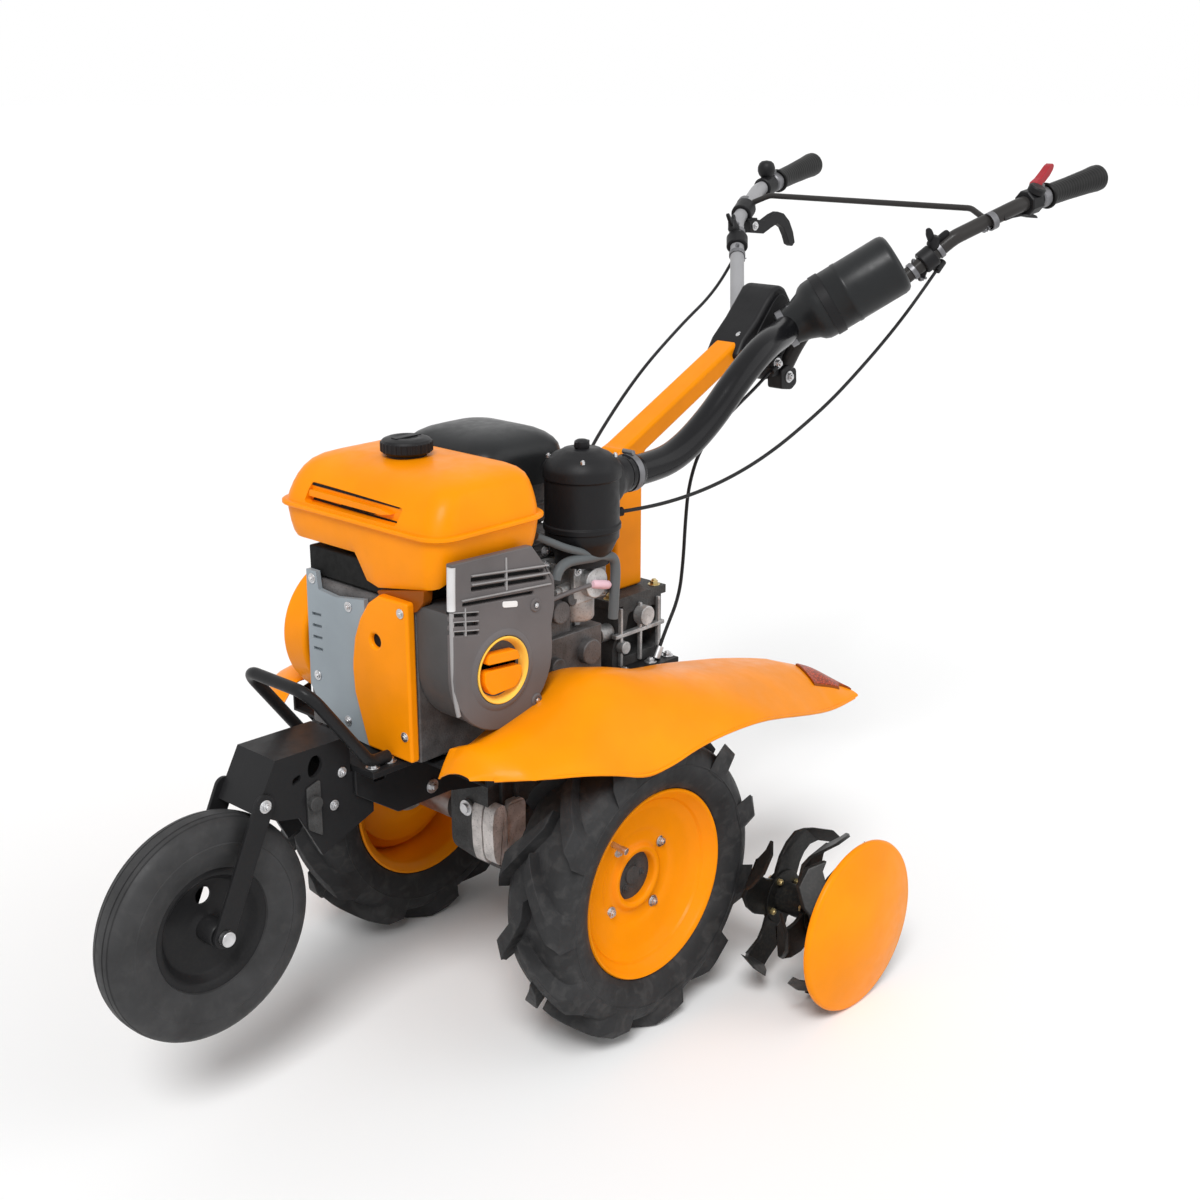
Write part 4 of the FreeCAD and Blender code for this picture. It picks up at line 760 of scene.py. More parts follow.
def forkDetails():
    softened("front_fork", "frontFork", "blackPaint", 0.0014)
    bolt = softened("front_axle_bolt", "frontAxleBolt", "zinc", 0.0008)
    for v in bolt.data.vertices:  # smaller heads
        if abs(v.co.y) > boltHeads["from"]:
            v.co.x += (frontAxle.x - v.co.x) * boltHeads["shrink"]
            v.co.z += (frontAxle.z - v.co.z) * boltHeads["shrink"]
    bracket = softened("front_bracket", "frontBracket", "blackPaint", 0.0016)
    for v in bracket.data.vertices:  # the nose is a little shorter and lower
        share = smooth(nose["from"], nose["to"], v.co.x - axleX)
        v.co.x -= nose["back"] * share
        v.co.z -= nose["down"] * share
        out = Vector((v.co.x - frontAxle.x, v.co.z - frontAxle.z))
        if out.length < nose["clear"]:
            v.co.x = frontAxle.x + out.x * nose["clear"] / out.length
            v.co.z = frontAxle.z + out.y * nose["clear"] / out.length
    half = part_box("front_bracket")[1][1] * 1000
    bm = bmesh.new()
    for side in (1, -1):
        boltAt(bm, (431, side * (half + 5.2), 391.6), (0, side, 0), 5.5, 5)
        boltAt(bm, (330, side * half, 358), (0, side, 0), 4.5, 4)
        boltAt(bm, (316, side * half, 396), (0, side, 0), 4.5, 4)
    finishPiece("bracketBolts", bm, "zinc", 0.0005)
    bm = bmesh.new()
    for side in (1, -1):
        low, high = sorted((side * half, side * (half + 3)))
        prism(bm, [(350, 326), (370, 340), (370, 392), (350, 398)], low, high, 3)
        rod(bm, (361, side * (half + 2), 372), (361, side * (half + 9), 372), 9, 32)
    finishPiece("bracketStrips", bm, "darkCasting", 0.001, slot="black_paint")


forkDetails()
print("front wheel is made")


# tine rotor
rotor = {"reach": 112.4, "sleeve": 21, "plate": 6, "bend": 34, "perRow": 4, "lean": 0.35, "fold": 0.8}
tineRows = {
    "inner": {"sleeve": (46, 150), "rows": [(64, 0, 1), (126, 45, -1)]},
    "outer": {"sleeve": (284, 424), "rows": [(292, 20, 1), (354, 65, 1), (406, 110, -1)]},
}


def tineBlade(bm, y, start, hook):
    # a flat sabre blade whose last third turns sideways into a cutting foot
    reach, sleeve, thick = rotor["reach"], rotor["sleeve"], rotor["plate"]
    old = set(bm.verts)

    def spot(radius, degrees):
        angle = math.radians(degrees)
        return (radius * math.cos(angle), radius * math.sin(angle))

    edge = [(0.28, -52), (0.4, -36), (0.54, -24), (0.68, -12), (0.8, -1), (0.9, 10), (0.97, 22), (1, 36),
            (0.985, 47), (0.93, 40), (0.84, 33), (0.73, 28), (0.6, 25), (0.47, 27), (0.34, 38)]
    outline = [spot(sleeve - 2, -62), *[spot(reach * share, a) for share, a in edge], spot(sleeve - 2, 62)]
    made = prism(bm, outline, y - thick / 2, y + thick / 2)
    lean = Vector((math.cos(rotor["lean"]), 0, math.sin(rotor["lean"])))
    for place, normal in (((reach * 0.0006, 0, 0), (1, 0.35, 0)),
                          (Vector((*spot(reach * 0.84, 12), 0)).xzy / 1000, lean)):
        near = list({g for v in made for g in (v, *v.link_edges, *v.link_faces)})
        bmesh.ops.bisect_plane(bm, geom=near, plane_co=place, plane_no=normal, dist=joinGap)
        made = [v for v in bm.verts if v not in old]
    for v in made:
        past = v.co.dot(lean) * 1000 / reach - rotor["fold"]
        if past > 0:  # the foot leans sideways past the fold
            v.co.y += hook * rotor["bend"] * min(1, past / 0.19) / 1000
    turn = Matrix.Rotation(-math.radians(start), 4, "Y")
    bmesh.ops.transform(bm, matrix=turn, verts=made)


def tineSet(side, sideName, kind):
    settings = tineRows[kind]
    low, high = sorted(side * y for y in settings["sleeve"])
    bm = bmesh.new()
    for y, first, hook in settings["rows"]:
        for i in range(rotor["perRow"]):
            tineBlade(bm, side * y, first + 360 / rotor["perRow"] * i, hook * side)
    finishPiece(f"{sideName}{kind.title()}Tines", bm, "bladeSteel", 0.0012, 2, 30,
        node=f"{sideName}_{kind}_tines", body="tine_rotor")
    bm = bmesh.new()
    turned(bm, [(low, 15), (high, 15), (high, 19.5), (high - 1.5, 21), (low + 1.5, 21), (low, 19.5)], 64)
    for y, first, hook in settings["rows"]:
        for near, far in ((-5.2, -3.2), (3.2, 5.2)):
            a, b = side * y + near, side * y + far
            turned(bm, [(a, 18), (b, 18), (b, 37), (a, 37)], 48)
    finishPiece(f"{sideName}{kind.title()}Sleeve", bm, "bladeSteel", 0.0006, 2, 40, body="tine_rotor")
    bm = bmesh.new()
    for y, first, hook in settings["rows"]:
        for x, z in circle(rotor["perRow"], first + 45, 29):
            for face in (1, -1):
                boltAt(bm, (x, side * y + face * 5.2, z), (0, face, 0), 5, 4.5, False)
    finishPiece(f"{sideName}{kind.title()}Bolts", bm, "yellowZinc", 0.0004, body="tine_rotor")


def guardDisc(side, sideName):
    bm = bmesh.new()
    near, radius = discY, discRadius
    cone = [(0, 0), (15.8, 0), (15.6, 10), (14.6, 24), (13, 38), (10.6, 54), (7.6, 70), (4, 86), (0.4, 99)]
    roll = [(-1.8, 11), (-3, 7), (-3.4, 4), (-5, 1.6), (-8, 0.2), (-11, 0.6), (-11.2, 2.6), (-8, 3),
            (-6, 5), (-5, 9), (-3.6, 13)]
    profile = cone + [(y, radius - inset) for y, inset in roll] + [(-1.6, 97), (5.6, 70), (11, 38), (0, 30)]
    turned(bm, [(side * (near + y), r) for y, r in profile], 112)
    finishPiece(f"{sideName}GuardDisc", bm, "rimPaint", 0, 2, 40, node=f"{sideName}_guard_disc",
                body="tine_rotor")
    bm = bmesh.new()
    for x, z in circle(3, 90, 21):
        boltAt(bm, (x, side * (near + 0.4), z), (0, -side, 0), 5, 5)
    finishPiece(f"{sideName}DiscBolts", bm, "yellowZinc", 0.0004, body="tine_rotor")


discLow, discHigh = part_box("left_guard_disc")
discRadius = (discHigh[2] - discLow[2]) * 500
discY = discHigh[1] * 1000 - 16
for side, sideName in sides:
    tineSet(side, sideName, "inner")
    tineSet(side, sideName, "outer")
    guardDisc(side, sideName)
softened("tine_shaft", "tineShaft", "shaftSteel", 0.0008)
softened("drive_shaft", "driveShaft", "shaftSteel", 0.0008)
print("tine rotor is made")


# fenders: stations along the length, each an arch from the inner edge to the outer edge
fender = {"inner": 162, "tip": 231, "tipFrom": -300, "tipLength": 166, "sheet": 2.4, "leftReach": 27,
          "leftMore": 16, "hang": 4, "hangMore": 5, "pressIn": 2.2, "pressOut": 2.6, "bead": 2.2}
reflector = {"x": -421, "length": 54, "middle": 0.47, "width": 0.54, "skew": 30}
fenderStations = [
    (252, 411, 190, 412, 2), (232, 436, 218, 414, 6), (205, 440, 246, 414, 12), (118, 458, 276, 404, 18),
    (40, 482, 284, 378, 33), (-60, 456, 286, 391, 26), (-172, 429, 285, 387, 13),
    (-282, 405, 272, 360, 12), (-375, 382, 256, 336, 12), (-425, 364, 248, 330, 9),
    (-466, 344, 240, 327, 4),
]


def archPoint(station, t):
    # past the inner edge, where t is negative, the sheet runs on straight
    x, innerZ, outerY, outerZ, crown = station
    y = fender["inner"] + (outerY - fender["inner"]) * t
    z = innerZ + (outerZ - innerZ) * t + crown * 4 * t * ((1 - t) if t > 0 else 1)
    return x, y, z


def smoothStation(x):
    # a spline through the stations, so that the wing has no kinks between them
    xs = [s[0] for s in fenderStations]
    i = next((k for k in range(len(xs) - 1) if xs[k + 1] <= x), len(xs) - 2)
    four = [fenderStations[max(0, min(len(xs) - 1, k))] for k in (i - 1, i, i + 1, i + 2)]
    u = (x - four[1][0]) / (four[2][0] - four[1][0]) if four[2][0] != four[1][0] else 0
    values = []
    for k in range(1, 5):
        a, b, c, d = (f[k] for f in four)
        values.append(0.5 * (2 * b + (c - a) * u + (2 * a - 5 * b + 4 * c - d) * u * u
                             + (3 * b - a - 3 * c + d) * u ** 3))
    return (x, *values)


def wingPoint(side, x, across):
    # across runs from 0 at the inner edge to 1 at the outer edge; the rear narrows to a point
    station = smoothStation(x)
    start = fender["inner"]
    if side > 0:  # the left wing reaches in under the starter
        start -= fender["leftReach"] + fender["leftMore"] * smooth(246, 118, x)
    narrow = max(0, min(1, (fender["tipFrom"] - x) / fender["tipLength"])) ** 3
    start += (fender["tip"] - start) * narrow
    y = start + (station[2] - start) * across
    return archPoint(station, (y - fender["inner"]) / (station[2] - fender["inner"]))


def fenderWing(side, sideName):
    bm = bmesh.new()
    bmesh.ops.create_grid(bm, x_segments=72, y_segments=26, size=0.5)
    front, rear = fenderStations[0][0], fenderStations[-1][0]
    for v in bm.verts:
        along, t = v.co.x + 0.5, v.co.y + 0.5
        x = front + (rear - front) * along
        px, py, pz = wingPoint(side, x, t)
        if side > 0:  # the left wing's inner edge hangs lower in front
            hang = fender["hang"] + fender["hangMore"] * smooth(252, 190, x)
            pz -= hang * smooth(70, 118, x) * smooth(0.35, 0, t)
        pz -= fender["pressIn"] * max(0, 1 - t / 0.06) + fender["pressOut"] * max(0, 1 - (1 - t) / 0.05)
        v.co = Vector((px, side * py, pz)) / 1000
    bmesh.ops.recalc_face_normals(bm, faces=bm.faces)
    if sum(f.normal.z for f in bm.faces) < 0:
        bmesh.ops.reverse_faces(bm, faces=bm.faces)
    bmesh.ops.solidify(bm, geom=bm.faces, thickness=fender["sheet"] / 1000)
    finishPiece(f"{sideName}Fender", bm, "orangePaint", 0.0006, 2, 50, node=f"{sideName}_fender")
    # rolled bead along the outer edge, and the reflector on its bezel
    edge = [archPoint(smoothStation(x), 1) for x in range(235, -459, -46)]
    wire(f"{sideName}FenderBead", [(x, side * (y - 0.6), z - 2.2) for x, y, z in edge], fender["bead"],
         "orangePaint")
    for name, finish, grow, stand, slot in (("Bezel", "orangeDeepAndShade", 1, 3, "black_plastic"),
                                            ("Reflector", "redLens", 0, 3.8, "red_plastic")):
        bm = bmesh.new()
        bmesh.ops.create_grid(bm, x_segments=10, y_segments=6, size=0.5)
        for v in bm.verts:
            x = reflector["x"] + v.co.x * (reflector["length"] + 2 * grow) + v.co.y * reflector["skew"]
            across = reflector["middle"] + v.co.y * (reflector["width"] + grow * 0.02)
            px, py, pz = wingPoint(side, x, across)
            v.co = Vector((px, side * py, pz + stand)) / 1000
        grown = bmesh.ops.extrude_face_region(bm, geom=bm.faces[:])["geom"]
        lower = [g for g in grown if isinstance(g, bmesh.types.BMVert)]
        bmesh.ops.translate(bm, verts=lower, vec=(0, 0, -(stand + 1) / 1000))
        finishPiece(f"{sideName}{name}", bm, finish, 0.0008, 2, 40, slot=slot)


for side, sideName in sides:
    fenderWing(side, sideName)
    brackets = softened(f"{sideName}_fender_brackets", f"{sideName}FenderBrackets", "blackPaint", 0.0008)
    for v in brackets.data.vertices:  # seated just under the sheet
        v.co.z -= 0.009 * smooth(0.4, 0.42, v.co.z)
print("fenders are made")


# engine: shapes are drawn from the axle's middle and carried to the model's own place
tank = {"rear": 72, "front": 250, "right": -149, "left": 144, "seam": 685, "flange": 6, "bottom": 640,
        "prow": 37, "prowSlope": 0.17}


def tankDrop(x, y, z):
    # the prow: the front left corner of the lower half reaches further down
    deep = smooth(210, 238, x) * smooth(-12, 16, y) * smooth(tank["seam"], tank["bottom"], z)
    return x, y, z - (tank["prow"] - tank["prowSlope"] * (y - 20)) * deep


def fuelTank():
    rear, front, right, left, seam = (tank[k] for k in ("rear", "front", "right", "left", "seam"))
    bm = bmesh.new()
    upper = [(2, 0, 0, 0, 30), (11, 3, 1, 1, 30), (22, 8, 2, 3, 30), (32, 14, 3.5, 6, 29),
             (41, 21, 5, 10, 28), (48, 29, 7, 15, 27), (53.5, 39, 11, 23, 26), (57.5, 51, 18, 35, 24),
             (60.5, 67, 32, 56, 20), (61.5, 84, 62, 90, 14)]
    loops = [boxLoop(bm, (rear + back, front - ahead), (right + aside, left - aside), seam + up, radius)
             for up, ahead, back, aside, radius in upper]
    loftLoops(bm, loops)
    dome = finishPiece("fuelTank", bm, "orangePlastic", 0, 2, 40, node="fuel_tank")
    cutThrough(dome, [(slab, [(-97, 690.5), (72, 690.5), (76, 711), (-93, 715)], 237, 270, 4)])
    bm = bmesh.new()
    lower = [(-2, 0, 30), (-10, 0.5, 30), (-25, 2.5, 29), (-37, 5, 28), (-43, 8, 26), (-45, 14, 22),
             (-45.5, 58, 12)]
    boxShell(bm, (rear, front), (right, left), [(seam + up, inset, r) for up, inset, r in lower], 7, 10,
             tankDrop)
    edge = tank["flange"]
    boxShell(bm, (rear - edge, front + edge), (right - edge, left + edge),
             [(seam + up, inset, 34) for up, inset in ((-2.6, 1), (-1.6, 0), (1.6, 0), (2.6, 1))])
    finishPiece("fuelTankBase", bm, "orangePlastic", 0, 2, 40)
    build("tankRecessBar", "orangePlastic", [
        (slab, [(-95, 698), (40, 697.5), (58, 701), (38, 704.5), (-92, 706)], 235, 243.5, 1.5),
    ], 0.0008)
    build("tankRecessShade", "paintedShadeBlack", [
        *[(slab, [(-94, low + 1.5), (66, low - 0.5), (70, high - 1.5), (-91, high + 1.5)], 236, 237.8)
            for low, high in ((690.6, 693.6), (709, 712.4))],
        (slab, [(-40, 694.5), (22, 694), (30, 697), (-34, 697.5)], 236, 238.5),
    ], slot="orange_plastic")
    # the block under the prow: its deep orange is painted shade
    build("tankFoot", "orangeDeepAndShade", [
        (slab, [(30, 604), (114, 621), (112, 606), (100, 593), (80, 585), (56, 584), (38, 592)], 232,
            246, 2),
    ], 0.002)


def fuelCap():
    bm = bmesh.new()
    place = (156, -12, 745.4)
    lathed(bm, [(-6, 0), (-6, 24), (3, 24.5), (5, 29), (7, 31), (18, 31), (21, 29), (23, 24), (24, 16),
                (23, 13), (22.6, 0)], place)
    for x, y in circle(30, 0, 30.6):
        x, y = place[0] + x, place[1] + y
        rod(bm, (x, y, place[2] + 7), (x, y, place[2] + 18.4), 1.6, 10)
    block(bm, (136, 176), (-17, -7), (766, 770))
    finishPiece("fuelCap", bm, "satinBlack", 0.0006, node="fuel_cap")


def mufflerGuard():
    bm = bmesh.new()
    steps = [(682, 0, 30), (717, 0, 30), (727, 2, 31), (734, 6, 32), (740, 12, 33), (745, 21, 32),
             (749, 34, 30), (751.4, 50, 24), (752, 64, 10)]
    boxShell(bm, (-92, 62), (-148, 24), steps, 9)
    finishPiece("mufflerGuard", bm, "canister", 0, 2, 50, node="muffler_guard")
    # near-black strips on the guard's faces: painted shade of its vent slots
    build("guardSlotShade", "paintedShadeBlack", [
        *[(block, (-92.6, -91.6), (y, y + 6), (686, 702)) for y in range(-132, 12, 12)],
        *[(block, (x, x + 6), (-148.6, -147.6), (686, 702)) for x in range(-78, 46, 12)],
    ], slot="black_plastic")
    bm = bmesh.new()
    boxShell(bm, (-74, 44), (-130, 6), [(622, 4, 14), (626, 0, 18), (712, 0, 18), (720, 8, 18)])
    for z in (650, 690):
        boxShell(bm, (-75.5, 45.5), (-131.5, 7.5),
                 [(z + up, inset, 19) for up, inset in ((-3, 1.6), (-1.5, 0), (1.5, 0), (3, 1.6))])
    finishPiece("muffler", bm, "darkCasting", 0, 2, 50, node="muffler", slot="engine_alloy")
    build("exhaustPipe", "darkCasting", [
        (rod, (-60, -96, 655), (-104, -112, 640), 13, 32),
        (lathed, [(0, 9), (6, 9), (6, 15), (0, 15)], (-102, -111.3, 640.7), (-44, -16, -15)),
    ], 0.0008, slot="black_paint")


recoil = {"x": 164, "z": 522, "radius": 81, "near": 95.2, "face": 160, "gripX": 168, "gripZ": 516}
recoilScrews = ((112, 583), (112, 462))


def recoilOutline(inset=0):
    radius = recoil["radius"] - inset
    angles = [math.radians(a) for a in range(0, -181, -9)]
    arc = [(recoil["x"] + radius * math.cos(a), recoil["z"] + radius * math.sin(a)) for a in angles]
    return [(245 - inset, 600)] + arc + [(84 + inset, 552), (79 + inset, 572), (78 + inset, 600)]


def recoilHousing():
    low, face = recoil["near"], recoil["face"]
    grip = (recoil["gripX"], face, recoil["gripZ"])
    outline = [(243, 661)] + recoilOutline()[1:] + [(80, 612), (98, 634), (116, 657)]
    cover = build("recoilHousing", "fanPlastic", [(prism, outline, 149, face)], 0.007, 5, 50,
                  node="recoil_housing")
    louvres = ((96, 620, 214, 634, 5), (92, 610, 214, 623, 5), (114, 597, 228, 608, 4))
    cutThrough(cover, [
        (lathed, [(-16, 0), (30, 0), (30, 41), (-16, 41)], grip, (0, 1, 0), 72),
        *[(prism, [(x0, z0), (x1, z1), (x1, z1 + high), (x0, z0 + high)], face - 7, face + 6)
          for x0, z0, x1, z1, high in louvres],
        *[(prism, [(204, z - 1), (250, z + 8), (250, z + 12.5), (204, z + 3.5)], 144, face + 6)
          for z in (592, 581, 570)],
    ])
    build("recoilBarrel", "fanDark", [(prism, recoilOutline(2), low, 152)], 0.002, 2, 50)
    build("recoilShade", "paintedShadeBlack", [
        (prism, [(90, 590), (232, 600), (238, 644), (112, 640), (90, 608)], 150, face - 5.5),
        (prism, [(206, 566), (241, 566), (241, 606), (206, 606)], 146, 151),
    ])
    # pale ribs over the louvres and the grille: real ribs, their light grey a painted highlight along their
    # edges
    build("recoilSlats", "fanHighlightGrey", [
        *[(prism, [(x0, z0), (x1, z1), (x1, z1 + 1.8), (x0, z0 + 1.8)], face - 2, face + 2.2)
          for x0, z0, x1, z1 in ((90, 627, 214, 641), (88, 617, 214, 630.5), (86, 603, 230, 615))],
        (prism, [(158, 612), (160.4, 612), (160.4, 652), (158, 652)], face - 2, face + 1.4),
        *[(prism, [(204, z - 2), (243, z + 5.6), (243, z + 7), (204, z - 0.6)], face - 3, face + 1)
          for z in (598, 587, 576)],
        (prism, [(224, 572), (226, 572), (226, 606), (224, 606)], face - 3, face + 1),
    ], 0.0006)
    # the ring about the grip, and the screws' bosses
    build("recoilBosses", "fanPlastic", [
        (lathed, [(-2, 41.4), (0.6, 41.4), (2.4, 43), (2.4, 46), (0, 50), (-2, 50)], grip, (0, 1, 0), 80),
        *[(lathed, [(-2, 0), (1.2, 0), (1.2, 4.6), (2, 5), (2, 7), (0.6, 8.5), (-2, 8.5)], (x, face, z),
            (0, 1, 0), 32) for x, z in recoilScrews],
    ])
    build("recoilScrews", "zinc", [
        *[(boltAt, (x, face + 1, z), (0, 1, 0), 3.4, 1.8, False) for x, z in recoilScrews],
    ], 0.0003)
    build("recoilPad", "padPale", [
        (prism, [(142, 588), (166, 592.5), (166, 600), (142, 595.5)], face - 1, face + 1, 2.5),
    ], 0.0004)
    # pale wires down the housing's front edge: a painted highlight, white above and grey below
    wire("recoilEdgeHighlight", [(241, 156, 657), (242, 156, 640), (242.6, 156, 606)], 5, "edgeHighlightPale", 8)
    wire("recoilRidgeHighlight", [(243, 156.6, 604), (243.6, 156.6, 540), (241.6, 156.6, 500), (236, 156.6, 476)],
         2.8, "fanHighlightGrey", 8)


def recoilGrip():
    x, z, face = recoil["gripX"], recoil["gripZ"], recoil["face"]
    build("recoilCup", "orangePale", [
        (lathed, [(-14, 0), (-11, 0), (-11, 31), (-8, 34), (-1, 36.5), (2.6, 38.5), (3.2, 40), (2.4, 41.2),
            (-14, 41)], (x, face, z), (0, 1, 0), 80),
    ], 0, 2, 40, node="recoil_grip")
    build("recoilHandle", "orangePlastic", [
        (prism, [(x - 27, z + 8), (x + 28, z + 13), (x + 24, z + 25), (x - 22, z + 21)],
            face - 9, face + 4, 4),
        (prism, [(x - 20, z - 26), (x + 20, z - 27), (x + 30, z - 12), (x + 30, z + 5), (x - 30, z),
            (x - 30, z - 14)], face - 9, face + 2.5, 5),
    ], 0.0024, 3)
    build("recoilHandleShade", "paintedShadeBlack", [
        (prism, [(x - 29, z - 3), (x + 29, z + 2), (x + 29, z + 16), (x - 29, z + 12)],
            face - 11, face - 8),
    ], slot="orange_plastic")


def frontCowl():
    outline = [(95, 404), (95, 603.5), (44, 603.5), (24, 590), (8, 568), (-4, 540), (-9, 512), (-10, 500),
               (-8, 470), (2, 440), (14, 404)]
    strap = build("frontStrap", "orangePlastic", [(slab, outline, 243.4, 257)], 0.004, 4, 40,
                  node="front_shroud")
    hole = [(-6, 0), (20, 0), (20, 8.5), (-6, 8.5)]
    cutThrough(strap, [(lathed, hole, (251, 36, 545), (1, 0, 0), 40)])
    build("strapHoleShade", "paintedShadeBlack", [
        (lathed, [(0, 0), (1.4, 0), (1.4, 8.4), (0, 8.4)], (250, 36, 545), (1, 0, 0), 40),
    ], slot="orange_plastic")
    panel = build("frontPanel", "panelGrey", [
        (slab, [(-99, 606), (-80, 606), (-77, 584), (-44, 581), (10, 589), (14, 401), (-46, 405),
            (-82, 427), (-102, 455)], 243.4, 250),
    ], 0.0025, 3, 30)
    cutThrough(panel, [(slab, [(-92, z), (-74, z + 1), (-74, z + 5), (-92, z + 4)], 246, 255)
                       for z in (548, 533, 518, 503)])
    build("cowlScrews", "zinc", [
        *[(boltAt, (249.8, y, z), (1, 0, 0), 4.5, 3)
          for y, z in ((-88, 596), (-86, 470), (-20, 574), (-30, 424))],
        *[(boltAt, (256.8, y, z), (1, 0, 0), 4.2, 2.6) for y, z in ((84, 436), (84, 590))],
    ], 0.0004)
    # a near-black block between the tank and the cowl: painted shade in the gap
    build("tankGapShade", "paintedShadeBlack", [(block, (190, 240), (-104, 92), (598, 634))], 0.002, slot="black_paint")


def engineBlock():
    softened("engine_block", "engineBlock", "blockCasting", 0.003)
    softened("tank_seat", "tankSeat", "satinBlack", 0.002)
    build("coolingFins", "blockCasting", [
        *[(block, (-66, 64), (-72, 47), (z, z + 2.6)) for z in range(538, 614, 9)],
        *[(block, (x, x + 5), (-74, 46), (536, 614)) for x in range(-50, 60, 22)],
        (block, (-62, 60), (-70, 46), (612, 621)),
    ], 0.0007)
    build("engineBolts", "zinc", [
        *[(boltAt, (x, 47, z), (0, 1, 0), 5, 5) for x, z in ((-20, 548), (26, 548), (-20, 600), (26, 600))],
        *[(boltAt, (x, y, 408), (0, 0, 1), 7, 7) for x, y in ((84, 93.6), (232, -90), (84, -90))],
        *[(boltAt, (x, y, 400), (0, 0, 1), 6, 5) for x in (-250, -214, -160, 262, 288) for y in (-60, 60)],
        (lathed, [(0, 0), (10, 0), (10, 9), (14, 10), (14, 16), (0, 16)], (96, 96, 420), (0.2, 1, 0.4), 24),
    ], 0.0005)


def beltCover():
    softened("belt_cover", "beltCover", "orangePlastic", 0.006, 4)
    build("beltCoverRings", "orangePlastic", [
        *[(lathed, [(0, radius - 8), (3, radius - 6), (3, radius), (0, radius + 2), (-3, radius)],
            (x, -154, z), (0, -1, 0), 72) for x, z, radius in ((160, 505, 60), (-48, 332, 34))],
    ], 0, 2, 40)
    build("beltCoverBolts", "zinc", [
        *[(boltAt, (x, -154.6, z), (0, -1, 0), 5, 4)
          for x, z in ((226, 545), (120, 573), (-88, 370), (-30, 288), (60, 372), (-8, 430))],
    ], 0.0004)


def carburettor():
    build("carburettor", "castAlloy", [
        (block, (-78, -8), (45.4, 52), (524, 590)), (block, (-64, -24), (52, 98), (546, 584)),
        (rod, (-44, 50, 566), (-44, 116, 566), 20, 40), (block, (-74, -14), (98, 104), (540, 592)),
        (lathed, [(0, 0), (0, 22), (4, 24), (28, 24), (31, 26), (35, 26), (36, 0)], (-44, 78, 511)),
        (rod, (-44, 78, 500), (-44, 78, 512), 6, 6), (rod, (-20, 88, 560), (2, 92, 560), 7, 24),
        (rod, (0, 91.6, 560), (10, 93.4, 560), 4, 12), (rod, (-70, 70, 572), (-84, 70, 576), 5, 16),
    ], 0.0016, 3, node="carburettor")
    build("carburettorSide", "blockCasting", [
        (block, (-20, 66), (47, 92), (500, 560)), (block, (-70, 66), (47, 100), (440, 502)),
        (block, (-40, 60), (60, 108), (404, 446)), (rod, (10, 90, 536), (10, 106, 536), 15, 24),
        (rod, (46, 90, 520), (46, 102, 520), 10, 24), (rod, (-40, 98, 472), (-40, 112, 472), 17, 32),
        (rod, (20, 98, 466), (20, 110, 466), 12, 24), (rod, (-12, 52, 536), (-12, 104, 548), 8, 24),
    ], 0.002, 3)
    build("carburettorBolts", "zinc", [
        *[(boltAt, (x, y, z), (0, 1, 0), 4.5, 4)
          for x, y, z in ((-68, 52, 532), (-68, 52, 582), (-18, 52, 532), (-18, 52, 582),
                          (-68, 104, 548), (-20, 104, 584))],
    ], 0.0004)
    arm = [(34, 118, 588), (30, 118, 600), (12, 118, 607), (-20, 118, 604), (-62, 118, 599), (-75, 118, 592),
           (-77, 118, 572), (-74, 118, 540), (-72, 118, 512)]
    wire("governorArm", arm, 6.6, "barGrey", 8, node="governor_arm")
    rodPoints = [(66, 116, 650), (40, 117, 637), (14, 118, 624), (-12, 118, 614), (-30, 118, 606)]
    wire("governorRod", rodPoints, 5, "barGrey", 8)
    wire("throttleLink", [(40, 112, 560), (10, 116, 566), (-30, 117, 566)], 3, "fanPlastic")
    build("chokeKnob", "pinkKnob", [
        (lathed, [(0, 0), (0, 4), (3, 5.4), (24, 6), (30, 5.6), (34, 3), (35, 0)], (-34, 117, 566.5),
            (-1, 0, -0.25), 32),
    ], 0, 2, 40)


def intake():
    bm = bmesh.new()
    lathed(bm, [(0, 0), (0, 35.5), (12, 36), (17, 39), (30, 45), (34, 47.6), (45, 48), (46, 50), (52.5, 50),
                (54, 48), (111, 48), (113, 50.4), (123, 50.4), (127, 49.4), (135, 45), (142, 36),
                (146, 27), (148, 24), (149, 0)], (-46, 88, 588.4), (0, 0, 1), 96)
    lathed(bm, [(0, 0), (0, 9), (5, 10), (10, 9.4), (12, 6), (12.6, 0)], (-46, 88, 736), (0, 0, 1), 32)
    block(bm, (-58, -34), (85.5, 90.5), (739, 746))
    part = bmesh.new()  # the outlet blends from the drum into the hose
    lathed(part, [(20, 0), (20, 40), (38, 38), (46, 34), (54, 29), (62, 26.2), (72, 25), (72, 0)],
           (-46, 88, 690), (-1, 0, 0), 64)
    absorb(bm, part)
    finishPiece("intakeHousing", bm, "satinBlack", 0.0006, node="intake_housing")
    build("throttleStop", "satinBlack", [(rod, (-80, 98, 647), (-103, 106, 647), 6)], 0.0008)
    build("intakeScrews", "zinc", [
        (boltAt, (x - 46, y + 88, 725), (0, 0, 1), 3.2, 4, False) for x, y in circle(4, 45, 42)
    ], 0.0003)


hosePoints = [(-117, 88, 690), (-170, 88, 689), (-227, 90, 696), (-289, 94, 733), (-348, 98, 787),
              (-409, 96, 824), (-470, 78, 830), (-508, 66.5, 838)]
canisterLow, canisterHigh = Vector((-518, 80.6, 848)), Vector((-604, 180, 930))


def hoseClamp(bm, place, direction, radius):
    lathed(bm, [(-5, radius - 1), (5, radius - 1), (5, radius + 1), (-5, radius + 1)], place, direction, 48)
    side = Vector(direction).cross(Vector((0, 0, 1))).normalized()
    spot = Vector(place) + Vector((0, 0, radius + 3))
    rod(bm, spot - side * 9, spot + side * 9, 3.4, 8)


